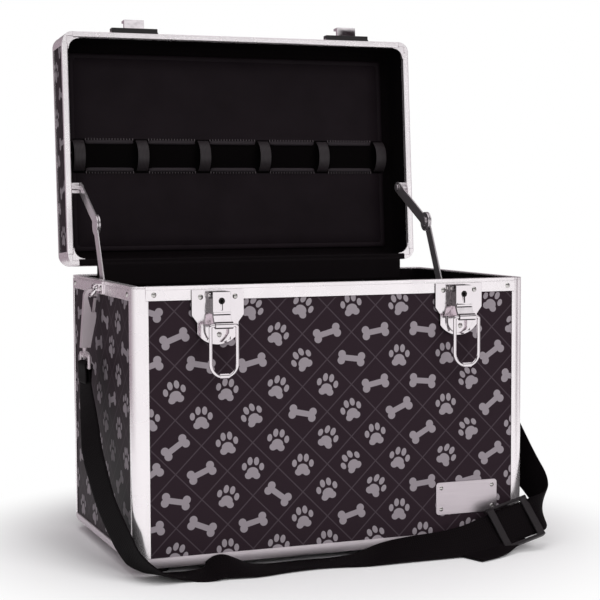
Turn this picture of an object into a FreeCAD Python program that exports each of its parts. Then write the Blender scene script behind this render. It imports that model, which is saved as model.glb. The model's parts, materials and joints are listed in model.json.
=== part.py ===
import FreeCAD, Part
import math
import os

V = FreeCAD.Vector
X, Y, Z = V(1, 0, 0), V(0, 1, 0), V(0, 0, 1)
ORIGIN = V(0, 0, 0)

# Case: outside sizes, millimetres
case_width = 365.0
case_depth = 225.0
body_height = 237.0
lid_height = 50.0
lid_gap = 0.6
open_angle = 94.0

# Walls: laminated boards, aluminium skin and inside lining
panel_t = 5.0
lid_panel_t = 3.4
skin_t = 1.2
lining_t = 1.0
lid_lining_t = 0.8

# Aluminium edge profiles
corner_r = 11.0
flange_w = 13.5
rail_r = 8.0
rail_seat = 8.0
rail_h = 10.0
band_h = 12.0
band_step_h = 3.0
band_step_d = 0.5
cap_t = 1.5
lid_rim_h = 5.0
lid_rim_web = 2.0
lid_rim_inner_h = 6.0
lid_rim_chamfer = 1.0
gusset_w = 17.0
gusset_tip = 0.8
gusset_t = 1.5
gusset_lift = 0.8

# Feet
foot_height = 6.0
foot_r = 9.0
foot_top_r = 10.5
foot_inset = 27.0
foot_screw_r = 3.2
foot_screw_h = 2.0

# Dome rivets
rivet_r = 2.3
rivet_h = 1.1
small_rivet_r = 1.9
small_rivet_h = 0.9
band_rivet_inset = 18.0
band_rivet_drop = 7.0

# Name plate
plate_width = 60.5
plate_height = 29.0
plate_t = 1.0
plate_corner_r = 3.0
plate_side_gap = 28.05
plate_z = 47.0
plate_rivet_inset = 5.0

# Hinges
hinge_offset = 8.0
hinge_x = 105.0
hinge_w = 54.0
hinge_leaf_h = 26.0
hinge_leaf_t = 1.5
hinge_leaf_drop = 4.0
knuckle_r = 3.6
knuckle_web = 3.0
pin_r = 1.5
run_gap = 0.06
knuckle_gap = 0.4
hinge_rivet_share = 0.30
hinge_rivet_level_share = 0.65

# Cloth flap behind the rim that hides the hinge gap
flap_t = 0.8
flap_h = 11.0
flap_inset = 24.0
flap_reach = 12.0

# Draw latches
latch_side_inset = 70.3
latch_shift = 2.6
latch_plate_w = 45.5
latch_plate_h = 46.0
latch_plate_t = 1.5
latch_plate_drop = 3.6
latch_waist_w = 36.0
latch_shoulder_share = 0.46
latch_waist_share = 0.60
latch_side_share = 0.80
latch_slot_w = 2.2
latch_slot_h = 11.0
latch_slot_x = 10.0
latch_boss_w = 24.0
latch_boss_h = 15.0
latch_boss_t = 3.0
latch_boss_rise = 2.0
latch_rivet_x = 15.2
latch_rivet_drop = 6.0
latch_rivet_rise = 6.5
lever_w = 15.4
lever_front = 12.0
lever_top = 2.8
lever_back = 1.9
lever_box_h = 15.5
lever_axle_drop = 8.0
lever_axle_out = 5.2
lever_barrel_r = 3.1
lever_lip_h = 1.6
lever_lip_out = 1.4
axle_r = 1.3
ear_t = 1.4
ear_gap = 0.3
ear_round = 2.8
tail_w = 15.4
tail_r = 3.0
tail_neck_t = 3.0
plug_r = 2.7
plug_depth = 5.0
plug_drop = 4.6
plug_recess = 0.4
keyhole_r = 1.2
keyhole_slot_w = 1.0
keyhole_slot_h = 2.2
lever_slot_w = 1.8
lever_slot_h = 5.2
lever_slot_d = 2.0
bail_wire_r = 1.5
bail_half_w = 11.6
bail_length = 44.5
bail_drop = 32.5
bail_out = 17.0
bail_pin_in = 5.0
bail_bend_r = 1.8
bail_nub_r = 2.3
bail_nub_w = 8.0

# Catches on the lid
catch_w = 47.0
catch_h = 22.0
catch_lift = 2.0
catch_t = 1.5
catch_boss_w = 46.0
catch_boss_t = 3.5
catch_boss_h = 8.0
catch_hook_w = 20.0
catch_hook_out = 13.5
catch_hook_rise = 4.0
catch_hook_h = 10.0
catch_lip_t = 2.5
catch_neck_h = 4.0
catch_rivet_x = 16.0

# Lid stays: folding links, places measured from the hinge line
stay_lid_back = 82.5
stay_lid_rise = 4.0
stay_body_back = 86.5
stay_body_drop = 14.3
stay_elbow_back = 55.7
stay_elbow_rise = 47.7
stay_w = 11.0
stay_t = 1.5
stay_wall_gap = 5.0
stay_gap = 0.5
stay_stud_r = 2.2
stay_head_r = 3.4
stay_head_t = 1.2
stay_elbow_r = 9.5
stay_rivet_r = 4.5
stay_tab_w = 10.0
stay_tab_t = 1.5

# Lid inside: board and tool strip
board_t = 2.5
board_margin = 9.0
strip_back = 109.0
strip_w = 332.0
strip_h = 34.0
strip_t = 1.0
strip_bar_h = 4.5
strip_bar_t = 2.2
strip_bar_edge = 1.0
loop_w = 11.5
loop_t = 1.2
loop_rise = 9.0
loop_overhang = 1.0
loop_pairs = 3
loop_end_inset = 1.5

# Carry handle on the lid
handle_x = 58.0
handle_arm = 42.0
handle_r = 6.0
handle_grip_r = 9.0
handle_grip_share = 0.72
handle_lift = 10.5
bracket_w = 16.0
bracket_l = 34.0
bracket_t = 1.5
bracket_ear_t = 3.0
bracket_ear_r = 6.0
handle_gap = 0.5
handle_pin_r = 2.0

# Strap anchors: plate, lugs and ring on each side band
anchor_w = 30.0
anchor_h = 11.0
anchor_t = 1.5
anchor_drop = 0.5
anchor_rivet_y = 11.0
lug_in = 3.3
lug_out = 5.0
lug_r = 3.2
ring_bar_out = 3.8
ring_bar_drop = 6.0
ring_wire_r = 1.55
ring_r = 6.8
ring_leg = 1.7
ring_tilt = 32.0

# Snap hooks
hook_t = 6.0
hook_outer_r = 6.0
hook_inner_r = 2.7
hook_length = 46.0
hook_body_w = 8.5
hook_lean = 3.5
hook_throat = 0.6
gate_t = 2.8
gate_slot_gap = 0.25
gate_bar_w = 2.2
gate_pivot_drop = 17.0
gate_pivot_in = 2.4
gate_tip_in = 4.3
gate_tip_drop = 2.3
gate_boss_r = 2.1
gate_pin_r = 0.8
swivel_r = 2.2
swivel_h = 3.0
eye_r = 3.2
eye_w = 8.0
link_wire_r = 1.5
link_half_w = 18.0
link_h = 10.0
link_turn = 2.0

# Shoulder strap
strap_w = 32.0
strap_t = 1.8
strap_gap = 0.3
slider_across = 39.8
slider_along = 42.0
slider_leg = 7.0
slider_side = 2.6
slider_t = 2.6
slider_gap = 0.5
slider_place_share = 0.703
floor_gap = 0.5
rest_gap = 0.8

# Strap route from the left link round the front to the right link: place of the centre line, then the
# direction across the webbing; None stands for a height that lets the lower edge rest on the floor
strap_route = [
    (-196.5, -0.5, 154.0, 0.05, -1.00, 0.05),
    (-197.5, -8.0, 139.0, 0.10, -0.98, 0.15),
    (-199.0, -24.0, 118.0, 0.22, -0.95, 0.20),
    (-200.5, -39.0, 97.0, 0.29, -0.93, 0.20),
    (-201.0, -54.0, 77.0, 0.32, -0.92, 0.22),
    (-200.0, -70.0, 58.0, 0.34, -0.88, 0.32),
    (-197.0, -87.0, 42.0, 0.38, -0.80, 0.46),
    (-192.0, -103.0, 29.0, 0.42, -0.70, 0.58),
    (-185.5, -116.0, 19.5, 0.40, -0.74, 0.54),
    (-175.0, -121.5, 11.5, 0.25, -0.93, 0.28),
    (-163.0, -122.0, 5.0, 0.08, -0.98, 0.15),
    (-149.0, -122.0, None, 0.00, -1.00, 0.02),
    (-136.0, -123.0, None, 0.00, -1.00, 0.00),
    (-124.0, -129.6, None, 0.00, -0.99, -0.12),
    (-112.0, -126.2, None, 0.00, -0.78, -0.62),
    (-99.0, -129.2, None, 0.00, -0.93, -0.37),
    (-84.0, -130.0, None, 0.00, -0.99, -0.10),
    (-60.0, -124.0, None, 0.00, -1.00, 0.00),
    (-30.0, -121.0, None, 0.00, -1.00, 0.00),
    (-4.0, -124.0, None, 0.00, -1.00, 0.00),
    (16.0, -129.8, None, 0.00, -0.99, -0.12),
    (40.0, -130.0, None, 0.00, -0.92, -0.38),
    (68.0, -131.0, None, 0.00, -0.87, -0.49),
    (98.0, -131.5, None, 0.00, -0.84, -0.54),
    (122.0, -133.0, 13.2, 0.06, -0.74, -0.66),
    (141.0, -132.0, 18.0, 0.12, -0.70, -0.70),
    (162.0, -131.0, 23.2, 0.12, -0.70, -0.70),
    (175.0, -130.4, 26.4, 0.12, -0.70, -0.70),
    (187.0, -129.8, 29.4, 0.14, -0.70, -0.70),
    (196.5, -121.5, 39.0, 0.40, -0.66, -0.64),
    (198.5, -107.5, 51.0, 0.60, -0.66, -0.36),
    (198.0, -91.5, 65.5, 0.58, -0.76, 0.04),
    (198.0, -70.0, 83.0, 0.48, -0.84, 0.20),
    (199.0, -48.0, 101.0, 0.40, -0.86, 0.28),
    (199.0, -26.0, 119.0, 0.28, -0.90, 0.28),
    (198.0, -8.0, 138.0, 0.15, -0.95, 0.18),
    (196.5, -0.5, 154.0, 0.05, -1.00, 0.05),
]

# Clearance run for cuts
overrun = 1.0

# Derived planes and lines
half_w = case_width / 2
half_d = case_depth / 2
base_z = foot_height
rim_z = base_z + body_height
lid_z = rim_z + lid_gap
top_z = rim_z + lid_height
axis_y = half_d + hinge_offset
wall = skin_t + panel_t
lid_wall = skin_t + lid_panel_t
rim_w = wall + lining_t
hinge_line = V(0, axis_y, rim_z)
board_z = top_z - wall - lid_lining_t - board_t
plate_x = half_w - plate_side_gap - plate_width / 2
latch_x = half_w - latch_side_inset
loop_pitch = (strip_w + 2 * loop_overhang - loop_w) / (2 * loop_pairs - 1)


def slab(x0, x1, y0, y1, z0, z1):
    return Part.makeBox(x1 - x0, y1 - y0, z1 - z0, V(x0, y0, z0))


def rod(start, along, radius, length):
    return Part.makeCylinder(radius, length, start, along)


def ball(centre, radius):
    return Part.makeSphere(radius, centre)


def fused(shapes):
    return shapes[0].fuse(shapes[1:]).removeSplitter()


def face_of(points):
    return Part.Face(Part.makePolygon(points + points[:1]))


def mirror_x(shape):
    return shape.mirror(ORIGIN, X)


def mirror_y(shape):
    return shape.mirror(ORIGIN, Y)


def both_sides(shape):
    return [shape, mirror_x(shape)]


def four_corners(shape):
    return [shape, mirror_x(shape), mirror_y(shape), mirror_y(mirror_x(shape))]


def opened(shape):
    turned = shape.copy()
    turned.rotate(hinge_line, X, -open_angle)
    return turned


def dome(centre, outward, radius, height):
    sphere_r = (radius**2 + height**2) / (2 * height)
    low = math.degrees(math.asin((sphere_r - height) / sphere_r))
    return Part.makeSphere(sphere_r, centre - outward * (sphere_r - height), outward, low, 90, 360)


# Edge profile: rounded outer corner, two legs behind the boards and two thin flanges over them
def edge_profile(at, radius, leg_a, flange_a, wall_a, leg_b, flange_b, wall_b):
    bend = radius * (1 - math.sqrt(0.5))
    corner = [(0, radius), (0, flange_b), (skin_t, flange_b), (skin_t, leg_b), (wall_b, leg_b)]
    corner += [(wall_b, wall_a), (leg_a, wall_a), (leg_a, skin_t), (flange_a, skin_t), (flange_a, 0)]
    corner.append((radius, 0))
    edges = [Part.Arc(at(radius, 0), at(bend, bend), at(0, radius)).toShape()]
    for here, there in zip(corner, corner[1:]):
        if math.dist(here, there) > 0:
            edges.append(Part.LineSegment(at(*here), at(*there)).toShape())
    return Part.Face(Part.Wire(edges))


# Upright corner profile at the front left corner, bare of flanges where bands and rails run
def upright(wall_t, bare_low, bare_high, z0, z1):
    def at(a, b):
        return V(a - half_w, b - half_d, z0)

    bare = edge_profile(at, corner_r, corner_r, corner_r, wall_t, corner_r, corner_r, wall_t)
    winged = edge_profile(at, corner_r, corner_r, flange_w, wall_t, corner_r, flange_w, wall_t)
    wings = winged.extrude(Z * (z1 - z0 - bare_low - bare_high))
    wings.translate(Z * bare_low)
    return fused([bare.extrude(Z * (z1 - z0)), wings])


# Rail along a flat face's edge: a runs inward from the wall, b runs away from the flat face
def rail(level, up, wall_t, along_x):
    def front(a, b):
        return V(corner_r - half_w, a - half_d, level + up * b)

    def left(a, b):
        return V(a - half_w, corner_r - half_d, level + up * b)

    sizes = (rail_r, corner_r, flange_w, wall, rail_seat, rail_h, wall_t)
    if along_x:
        return edge_profile(front, *sizes).extrude(X * (case_width - 2 * corner_r))
    return edge_profile(left, *sizes).extrude(Y * (case_depth - 2 * corner_r))


def rails(level, up, wall_t):
    front = rail(level, up, wall_t, True)
    rear = mirror_y(front)
    left = rail(level, up, wall_t, False).cut(front).cut(rear)
    return [front, rear, left, mirror_x(left)]


# Rounded three-way corner fitting between the rails and the upright
def corner_fitting(level, up, wall_t):
    bend = corner_r * (1 - math.sqrt(0.5))
    arc = Part.Arc(V(corner_r, 0, 0), V(bend, bend, 0), V(0, corner_r, 0)).toShape()
    left = Part.LineSegment(V(0, corner_r, 0), V(corner_r, corner_r, 0)).toShape()
    right = Part.LineSegment(V(corner_r, corner_r, 0), V(corner_r, 0, 0)).toShape()
    block = Part.Face(Part.Wire([arc, left, right])).extrude(Z * rail_seat)
    arcs = [e for e in block.Edges if e.Curve.TypeId == "Part::GeomCircle"]
    outer = [e for e in arcs if e.BoundBox.ZMax < rail_seat / 2]
    block = block.makeFillet(min(rail_r, rail_seat) - run_gap, outer)
    far = corner_r + overrun
    block = block.cut(slab(wall_t, far, wall_t, far, wall, far))
    if up < 0:
        block = block.mirror(ORIGIN, Z)
    block.translate(V(-half_w, -half_d, level))
    return block


def boards():
    x_end, y_end = half_w - corner_r, half_d - corner_r
    low, high = base_z + rail_seat, rim_z - skin_t
    front = slab(-x_end, x_end, skin_t - half_d, wall - half_d, low, high)
    left = slab(skin_t - half_w, wall - half_w, -y_end, y_end, low, high)
    bottom = slab(-x_end, x_end, -y_end, y_end, base_z + skin_t, base_z + wall)
    return {
        "front_panel": [front],
        "rear_panel": [mirror_y(front)],
        "left_panel": [left],
        "right_panel": [mirror_x(left)],
        "bottom_panel": [bottom],
    }


def body_lining():
    low, high = base_z + wall, rim_z - skin_t
    outer = slab(wall - half_w, half_w - wall, wall - half_d, half_d - wall, low, high)
    in_w, in_d = half_w - rim_w, half_d - rim_w
    inner = slab(-in_w, in_w, -in_d, in_d, low + lining_t, high + overrun)
    return outer.cut(inner)


# Band over the top edge of a body wall: outer face with a fine step, and a web over the board and lining
def band(along_x):
    points = [(0, band_h), (0, band_step_h), (band_step_d, band_step_h), (band_step_d, 0)]
    points += [(rim_w, 0), (rim_w, skin_t), (skin_t, skin_t), (skin_t, band_h)]
    if along_x:
        face = face_of([V(corner_r - half_w, v - half_d, rim_z - h) for v, h in points])
        return face.extrude(X * (case_width - 2 * corner_r))
    face = face_of([V(v - half_w, corner_r - half_d, rim_z - h) for v, h in points])
    return face.extrude(Y * (case_depth - 2 * corner_r))


def rim_bands():
    front, left = band(True), band(False)
    return [front, mirror_y(front), left, mirror_x(left)]


def rim_cap():
    def at(a, b):
        return V(a - half_w, b - half_d, rim_z - cap_t)

    face = edge_profile(at, corner_r, corner_r, corner_r, wall, corner_r, corner_r, wall)
    return face.extrude(Z * cap_t)


def foot():
    centre = V(foot_inset - half_w, foot_inset - half_d, 0)
    cone = Part.makeCone(foot_r, foot_top_r, foot_height + skin_t, centre, Z)
    recess = rod(centre - Z * overrun, Z, foot_screw_r + run_gap, foot_screw_h + 2 * overrun)
    return cone.cut(recess)


def foot_screw():
    centre = V(foot_inset - half_w, foot_inset - half_d, overrun)
    return rod(centre, Z, foot_screw_r, foot_screw_h)


def name_plate():
    x0, x1 = plate_x - plate_width / 2, plate_x + plate_width / 2
    z0, z1 = plate_z - plate_height / 2, plate_z + plate_height / 2
    plate = slab(x0, x1, skin_t - half_d - plate_t, skin_t - half_d, z0, z1)
    corners = [e for e in plate.Edges if e.BoundBox.YLength > plate_t / 2]
    return plate.makeFillet(min(plate_corner_r, plate_height / 2 - run_gap), corners)


def name_plate_rivets():
    dx, dz = plate_width / 2 - plate_rivet_inset, plate_height / 2 - plate_rivet_inset
    face_y = skin_t - half_d - plate_t
    spots = [(sx * dx, sz * dz) for sx in (-1, 1) for sz in (-1, 1)]
    return [dome(V(plate_x + x, face_y, plate_z + z), -Y, small_rivet_r, small_rivet_h) for x, z in spots]


# Hinge leaf on the rear face: plate, slanted web and barrels; "way" points from hinge line to leaf
def hinge_leaf(way, spans, edge, seat):
    low, high = hinge_leaf_drop, hinge_leaf_drop + hinge_leaf_h
    level = [rim_z + way * low, rim_z + way * high]
    plate = slab(-hinge_w / 2, hinge_w / 2, half_d, half_d + hinge_leaf_t, min(level), max(level))
    pad_level = [rim_z + way * (edge + run_gap), rim_z + way * high]
    pad = slab(-hinge_w / 2, hinge_w / 2, half_d - seat, half_d, min(pad_level), max(pad_level))
    side = [(half_d, low), (half_d, low + knuckle_web), (half_d + hinge_leaf_t, low + knuckle_web)]
    side += [(axis_y + knuckle_web / 2, knuckle_r / 2), (axis_y - knuckle_web, 0)]
    shapes = [plate, pad]
    for x0, x1 in spans:
        web = face_of([V(x0, y, rim_z + way * h) for y, h in side]).extrude(X * (x1 - x0))
        shapes += [web, rod(V(x0, axis_y, rim_z), X, knuckle_r, x1 - x0)]
    bore = pin_r + (run_gap if way > 0 else 0)
    hole = rod(V(-hinge_w, axis_y, rim_z), X, bore, 2 * hinge_w)
    leaf = fused(shapes).cut(hole)
    leaf.translate(X * hinge_x)
    return leaf


def hinge_body_leaf():
    third = hinge_w / 3
    spans = [(-hinge_w / 2, -third / 2 - knuckle_gap), (third / 2 + knuckle_gap, hinge_w / 2)]
    return hinge_leaf(-1, spans, band_h, skin_t)


def hinge_lid_leaf():
    third = hinge_w / 3
    return hinge_leaf(1, [(-third / 2, third / 2)], lid_gap + lid_rim_h, skin_t)


def hinge_pin():
    return rod(V(hinge_x - hinge_w / 2, axis_y, rim_z), X, pin_r, hinge_w)


# Cloth flap: stands behind the rear band, then runs down the rear lining
def hinge_flap():
    back = half_d - rim_w
    reach_x = half_w - flap_inset
    return slab(-reach_x, reach_x, back - flap_t, back, rim_z - flap_reach, rim_z + flap_h)


# Latch base plate: shield outline with ears for the lever axle, padded back to the board below the band
def latch_plate():
    top, half_top, half_waist = -latch_plate_drop, latch_plate_w / 2, latch_waist_w / 2
    shoulder = top - latch_plate_h * latch_shoulder_share
    waist = top - latch_plate_h * latch_waist_share
    side = top - latch_plate_h * latch_side_share
    left = [V(-half_top, 0, top), V(-half_top, 0, shoulder)]
    left += [V(-half_waist, 0, waist), V(-half_waist, 0, side)]
    right = [V(-p.x, 0, p.z) for p in reversed(left)]
    lines = [Part.LineSegment(a, b).toShape() for a, b in zip(left, left[1:])]
    lines.append(Part.Arc(left[-1], V(0, 0, top - latch_plate_h), right[0]).toShape())
    lines += [Part.LineSegment(a, b).toShape() for a, b in zip(right, right[1:])]
    lines.append(Part.LineSegment(right[-1], left[0]).toShape())
    shield = Part.Face(Part.Wire(lines)).extrude(Y * (latch_plate_t + skin_t))
    shield.translate(V(0, -half_d - latch_plate_t, rim_z))
    over_band = slab(-latch_plate_w, latch_plate_w, -half_d, 0, rim_z - band_h - run_gap, rim_z)
    shield = shield.cut(over_band)
    slot_top = rim_z + top - latch_plate_h * latch_side_share + latch_slot_h / 2
    front = -half_d - latch_plate_t
    for x in (-latch_slot_x, latch_slot_x):
        x0, x1 = x - latch_slot_w / 2, x + latch_slot_w / 2
        shield = shield.cut(slab(x0, x1, front - overrun, -half_d, slot_top - latch_slot_h, slot_top))
    boss_z = rim_z + top - latch_plate_h + latch_boss_rise
    half = latch_boss_w / 2
    boss = slab(-half, half, front - latch_boss_t, front, boss_z, boss_z + latch_boss_h)
    deep = [e for e in boss.Edges if e.BoundBox.YLength > latch_boss_t / 2]
    low = [e for e in deep if e.BoundBox.ZMax < boss_z + half]
    boss = boss.makeFillet(half - overrun, low)
    ears = []
    for side_x in (-1, 1):
        inner = lever_w / 2 + ear_gap
        x0 = inner if side_x > 0 else -inner - ear_t
        axle = V(x0, -half_d - lever_axle_out, rim_z - lever_axle_drop)
        block = slab(x0, x0 + ear_t, axle.y, front, axle.z - ear_round, axle.z + ear_round)
        ears += [block, rod(axle, X, ear_round, ear_t)]
    plate = fused([shield, boss] + ears)
    start = V(-latch_plate_w, -half_d - lever_axle_out, rim_z - lever_axle_drop)
    hole = rod(start, X, axle_r, 2 * latch_plate_w)
    return plate.cut(hole)


def latch_axle():
    half = lever_w / 2 + ear_gap + ear_t
    return rod(V(-half, -half_d - lever_axle_out, rim_z - lever_axle_drop), X, axle_r, 2 * half)


# Lever: box with the lock, hinged at its top, with a finger lip and a tail that carries the bail
def latch_lever():
    half = lever_w / 2
    axle = V(-half, -half_d - lever_axle_out, rim_z - lever_axle_drop)
    bottom = axle.z - lever_box_h
    front, back = -half_d - lever_front, -half_d - lever_back
    box = slab(-half, half, front, back, bottom, axle.z)
    crown = slab(-half, half, front, axle.y, axle.z, axle.z + lever_top)
    lip = slab(-half, half, front - lever_lip_out, front, bottom, bottom + lever_lip_h)
    tail_axis = V(-tail_w / 2, -half_d - bail_out, rim_z - bail_drop)
    neck = [V(-tail_w / 2, front, bottom), V(-tail_w / 2, front + tail_neck_t, bottom)]
    neck += [V(-tail_w / 2, tail_axis.y + tail_r, tail_axis.z), V(-tail_w / 2, tail_axis.y, tail_axis.z)]
    shapes = [box, crown, lip, rod(axle, X, lever_barrel_r, lever_w), face_of(neck).extrude(X * tail_w)]
    shapes.append(rod(tail_axis, X, tail_r, tail_w))
    lever = fused(shapes)
    lever = lever.cut(rod(axle - X * overrun, X, axle_r + run_gap, lever_w + 2 * overrun))
    lever = lever.cut(rod(tail_axis - X * overrun, X, bail_wire_r + run_gap, tail_w + 2 * overrun))
    plug_z, slot_x = axle.z - plug_drop, lever_slot_w / 2
    slot_low = plug_z - plug_r - lever_slot_h
    slot = slab(-slot_x, slot_x, front - overrun, front + lever_slot_d, slot_low, plug_z)
    lever = lever.cut(slot)
    return lever.cut(rod(V(0, front - overrun, plug_z), Y, plug_r + run_gap, plug_depth + overrun))


# Lock plug with its keyhole
def latch_plug():
    front = -half_d - lever_front + plug_recess
    plug_z = rim_z - lever_axle_drop - plug_drop
    plug = rod(V(0, front, plug_z), Y, plug_r, plug_depth - plug_recess)
    half = keyhole_slot_w / 2
    slot = slab(-half, half, front - overrun, front + plug_depth / 2, plug_z - keyhole_slot_h, plug_z)
    eye = rod(V(0, front - overrun, plug_z), Y, keyhole_r, overrun + plug_depth / 2)
    return plug.cut(fused([slot, eye]))


# Wire bail: one bent wire with two pins in the lever's tail, straight legs, a half-round end and a thumb nub
def latch_bail():
    y, z = -half_d - bail_out, rim_z - bail_drop
    leg = bail_length - bail_wire_r - bail_half_w
    low = V(0, y, z - leg)
    pin_x, flat = tail_w / 2 - bail_pin_in, bail_half_w - bail_bend_r
    turn = bail_bend_r * (1 - math.sqrt(0.5))
    edges = []
    for side in (-1, 1):
        pin, elbow = V(side * pin_x, y, z), V(side * flat, y, z)
        corner = V(side * (bail_half_w - turn), y, z - turn)
        knee = V(side * bail_half_w, y, z - bail_bend_r)
        foot = low + X * (side * bail_half_w)
        edges.append(Part.LineSegment(pin, elbow).toShape())
        edges.append(Part.Arc(elbow, corner, knee).toShape())
        edges.append(Part.LineSegment(knee, foot).toShape())
    edges.append(Part.Arc(low - X * bail_half_w, low - Z * bail_half_w, low + X * bail_half_w).toShape())
    path = Part.Wire(Part.__sortEdges__(edges))
    start = V(-pin_x, y, z)
    wire = path.makePipeShell([Part.Wire([Part.Circle(start, X, bail_wire_r).toShape()])], True, False)
    nub_z = low.z - bail_half_w + bail_nub_r - bail_wire_r
    return fused([wire, rod(V(-bail_nub_w / 2, y, nub_z), X, bail_nub_r, bail_nub_w)])


def at_latches(shape):
    left, right = shape.copy(), shape.copy()
    left.translate(X * (latch_shift - latch_x))
    right.translate(X * (latch_shift + latch_x))
    return left, right


# Strap anchor on the left band: plate and two lugs around the ring's bar
def anchor_bar():
    return V(-half_w - ring_bar_out, 0, rim_z - ring_bar_drop)


def strap_anchor():
    z1 = rim_z - anchor_drop
    plate = slab(-half_w - anchor_t, -half_w, -anchor_w / 2, anchor_w / 2, z1 - anchor_h, z1)
    half = anchor_w / 2
    recess = slab(-half_w - anchor_t, -half_w + band_step_d, -half, half, rim_z - band_step_h, z1)
    bar = anchor_bar()
    shapes = [plate, recess]
    for y0 in (-lug_out, lug_in):
        width = lug_out - lug_in
        shapes.append(rod(V(bar.x, y0, bar.z), Y, lug_r, width))
        shapes.append(slab(bar.x, -half_w, y0, y0 + width, bar.z - lug_r, bar.z + lug_r))
    hole = rod(V(bar.x, -anchor_w, bar.z), Y, ring_wire_r + run_gap, 2 * anchor_w)
    return fused(shapes).cut(hole)


# D-shaped wire ring: straight bar in the lugs, two bent corners and a half round below
def strap_ring():
    bar = anchor_bar()
    bend = ring_leg * (1 - math.sqrt(0.5))
    flat = ring_r - ring_leg
    low = bar - Z * ring_leg
    edges = [Part.LineSegment(bar - Y * flat, bar + Y * flat).toShape()]
    corner = bar + Y * (ring_r - bend) - Z * bend
    edges.append(Part.Arc(bar + Y * flat, corner, low + Y * ring_r).toShape())
    edges.append(Part.Arc(low + Y * ring_r, low - Z * ring_r, low - Y * ring_r).toShape())
    corner = bar - Y * (ring_r - bend) - Z * bend
    edges.append(Part.Arc(low - Y * ring_r, corner, bar - Y * flat).toShape())
    section = Part.Wire([Part.Circle(bar - Y * flat, Y, ring_wire_r).toShape()])
    ring = Part.Wire(edges).makePipeShell([section], True, False)
    ring.rotate(bar, Y, ring_tilt)
    return ring


# Snap hook, in the plane across the wall; the centre of its bend is the ring's lowest wire
def hook_centre():
    bar, drop, tilt = anchor_bar(), ring_leg + ring_r, math.radians(ring_tilt)
    return V(bar.x - drop * math.sin(tilt), 0, bar.z - drop * math.cos(tilt))


def gate_pivot():
    return hook_centre() + V(gate_pivot_in, 0, -gate_pivot_drop)


def snap_hook():
    c, half = hook_centre(), hook_t / 2
    bend = rod(c - Y * half, Y, hook_outer_r, hook_t).cut(rod(c - Y * hook_t, Y, hook_inner_r, 2 * hook_t))
    far = hook_outer_r + overrun
    mouth_x = c.x - hook_inner_r
    bend = bend.cut(slab(mouth_x, c.x + far, -hook_t, hook_t, c.z - far, c.z - hook_throat))
    pivot = gate_pivot()
    foot_x, foot_z = c.x - hook_outer_r - hook_lean, c.z - hook_length
    outline = [(c.x - hook_outer_r, c.z), (c.x - hook_inner_r, c.z)]
    outline += [(c.x - hook_inner_r, c.z - gate_tip_drop)]
    boss_top = pivot.z + gate_boss_r
    outline += [(pivot.x - gate_boss_r, boss_top), (pivot.x + gate_boss_r, boss_top)]
    outline += [(pivot.x + gate_boss_r, pivot.z - gate_boss_r)]
    outline += [(foot_x + hook_body_w, foot_z), (foot_x, foot_z)]
    body = face_of([V(x, -half, z) for x, z in outline]).extrude(Y * hook_t)
    slot_half = gate_t / 2 + gate_slot_gap
    slot = slab(
        pivot.x - gate_boss_r - gate_slot_gap, pivot.x + far, -slot_half, slot_half,
        pivot.z - gate_boss_r - gate_slot_gap, pivot.z + far,
    )
    pin = rod(pivot - Y * half, Y, gate_pin_r, hook_t)
    eye, way = link_top(), link_way()
    stem = rod(V(eye.x, 0, foot_z), -Z, swivel_r, swivel_h + eye_r / 2)
    hook = fused([bend, body]).cut(slot)
    hook = fused([hook, pin, stem, rod(eye - way * (eye_w / 2), way, eye_r, eye_w)])
    return hook.cut(rod(eye - way * eye_w, way, link_wire_r + run_gap, 2 * eye_w))


# Rectangular wire link that the webbing goes round, turned a little on its swivel
def link_way():
    turn = math.radians(link_turn)
    return V(math.sin(turn), math.cos(turn), 0)


def link_top():
    c = hook_centre()
    x = c.x - hook_outer_r - hook_lean + hook_body_w / 2
    return V(x, 0, c.z - hook_length - swivel_h - eye_r)


def strap_link():
    top, way = link_top(), link_way()
    shapes = []
    for centre in (top, top - Z * link_h):
        shapes.append(rod(centre - way * link_half_w, way, link_wire_r, 2 * link_half_w))
    for side in (-1, 1):
        corner = top + way * (side * link_half_w)
        shapes += [rod(corner, -Z, link_wire_r, link_h), ball(corner, link_wire_r)]
        shapes.append(ball(corner - Z * link_h, link_wire_r))
    return fused(shapes)


def hook_gate():
    c, pivot, half = hook_centre(), gate_pivot(), gate_t / 2
    tip = c + V(gate_tip_in, 0, -gate_tip_drop)
    along = (tip - pivot).normalize()
    aside = V(along.z, 0, -along.x) * (gate_bar_w / 2)
    corners = [pivot - aside, pivot + aside, tip + aside, tip - aside]
    bar = face_of([p - Y * half for p in corners]).extrude(Y * gate_t)
    boss = rod(pivot - Y * half, Y, gate_boss_r, gate_t)
    return fused([bar, boss]).cut(rod(pivot - Y * gate_t, Y, gate_pin_r + run_gap, 2 * gate_t))


# Lid boards, lining and inner board, in the closed place
def lid_boards():
    x_end, y_end = half_w - corner_r, half_d - corner_r
    low, high = lid_z + lid_rim_web, top_z - rail_seat
    front = slab(-x_end, x_end, skin_t - half_d, lid_wall - half_d, low, high)
    left = slab(skin_t - half_w, lid_wall - half_w, -y_end, y_end, low, high)
    return {
        "lid_top_panel": [slab(-x_end, x_end, -y_end, y_end, top_z - wall, top_z - skin_t)],
        "lid_front_wall": [front],
        "lid_rear_wall": [mirror_y(front)],
        "lid_left_wall": [left],
        "lid_right_wall": [mirror_x(left)],
    }


def lid_lining():
    x1, y1, low, high = half_w - lid_wall, half_d - lid_wall, lid_z + lid_rim_inner_h, top_z - wall
    outer = slab(-x1, x1, -y1, y1, low, high)
    x2, y2 = x1 - lid_lining_t, y1 - lid_lining_t
    return outer.cut(slab(-x2, x2, -y2, y2, low - overrun, high - lid_lining_t))


def lid_board():
    x = half_w - lid_wall - lid_lining_t - board_margin
    y = half_d - lid_wall - lid_lining_t - board_margin
    return slab(-x, x, -y, y, board_z, board_z + board_t)


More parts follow.
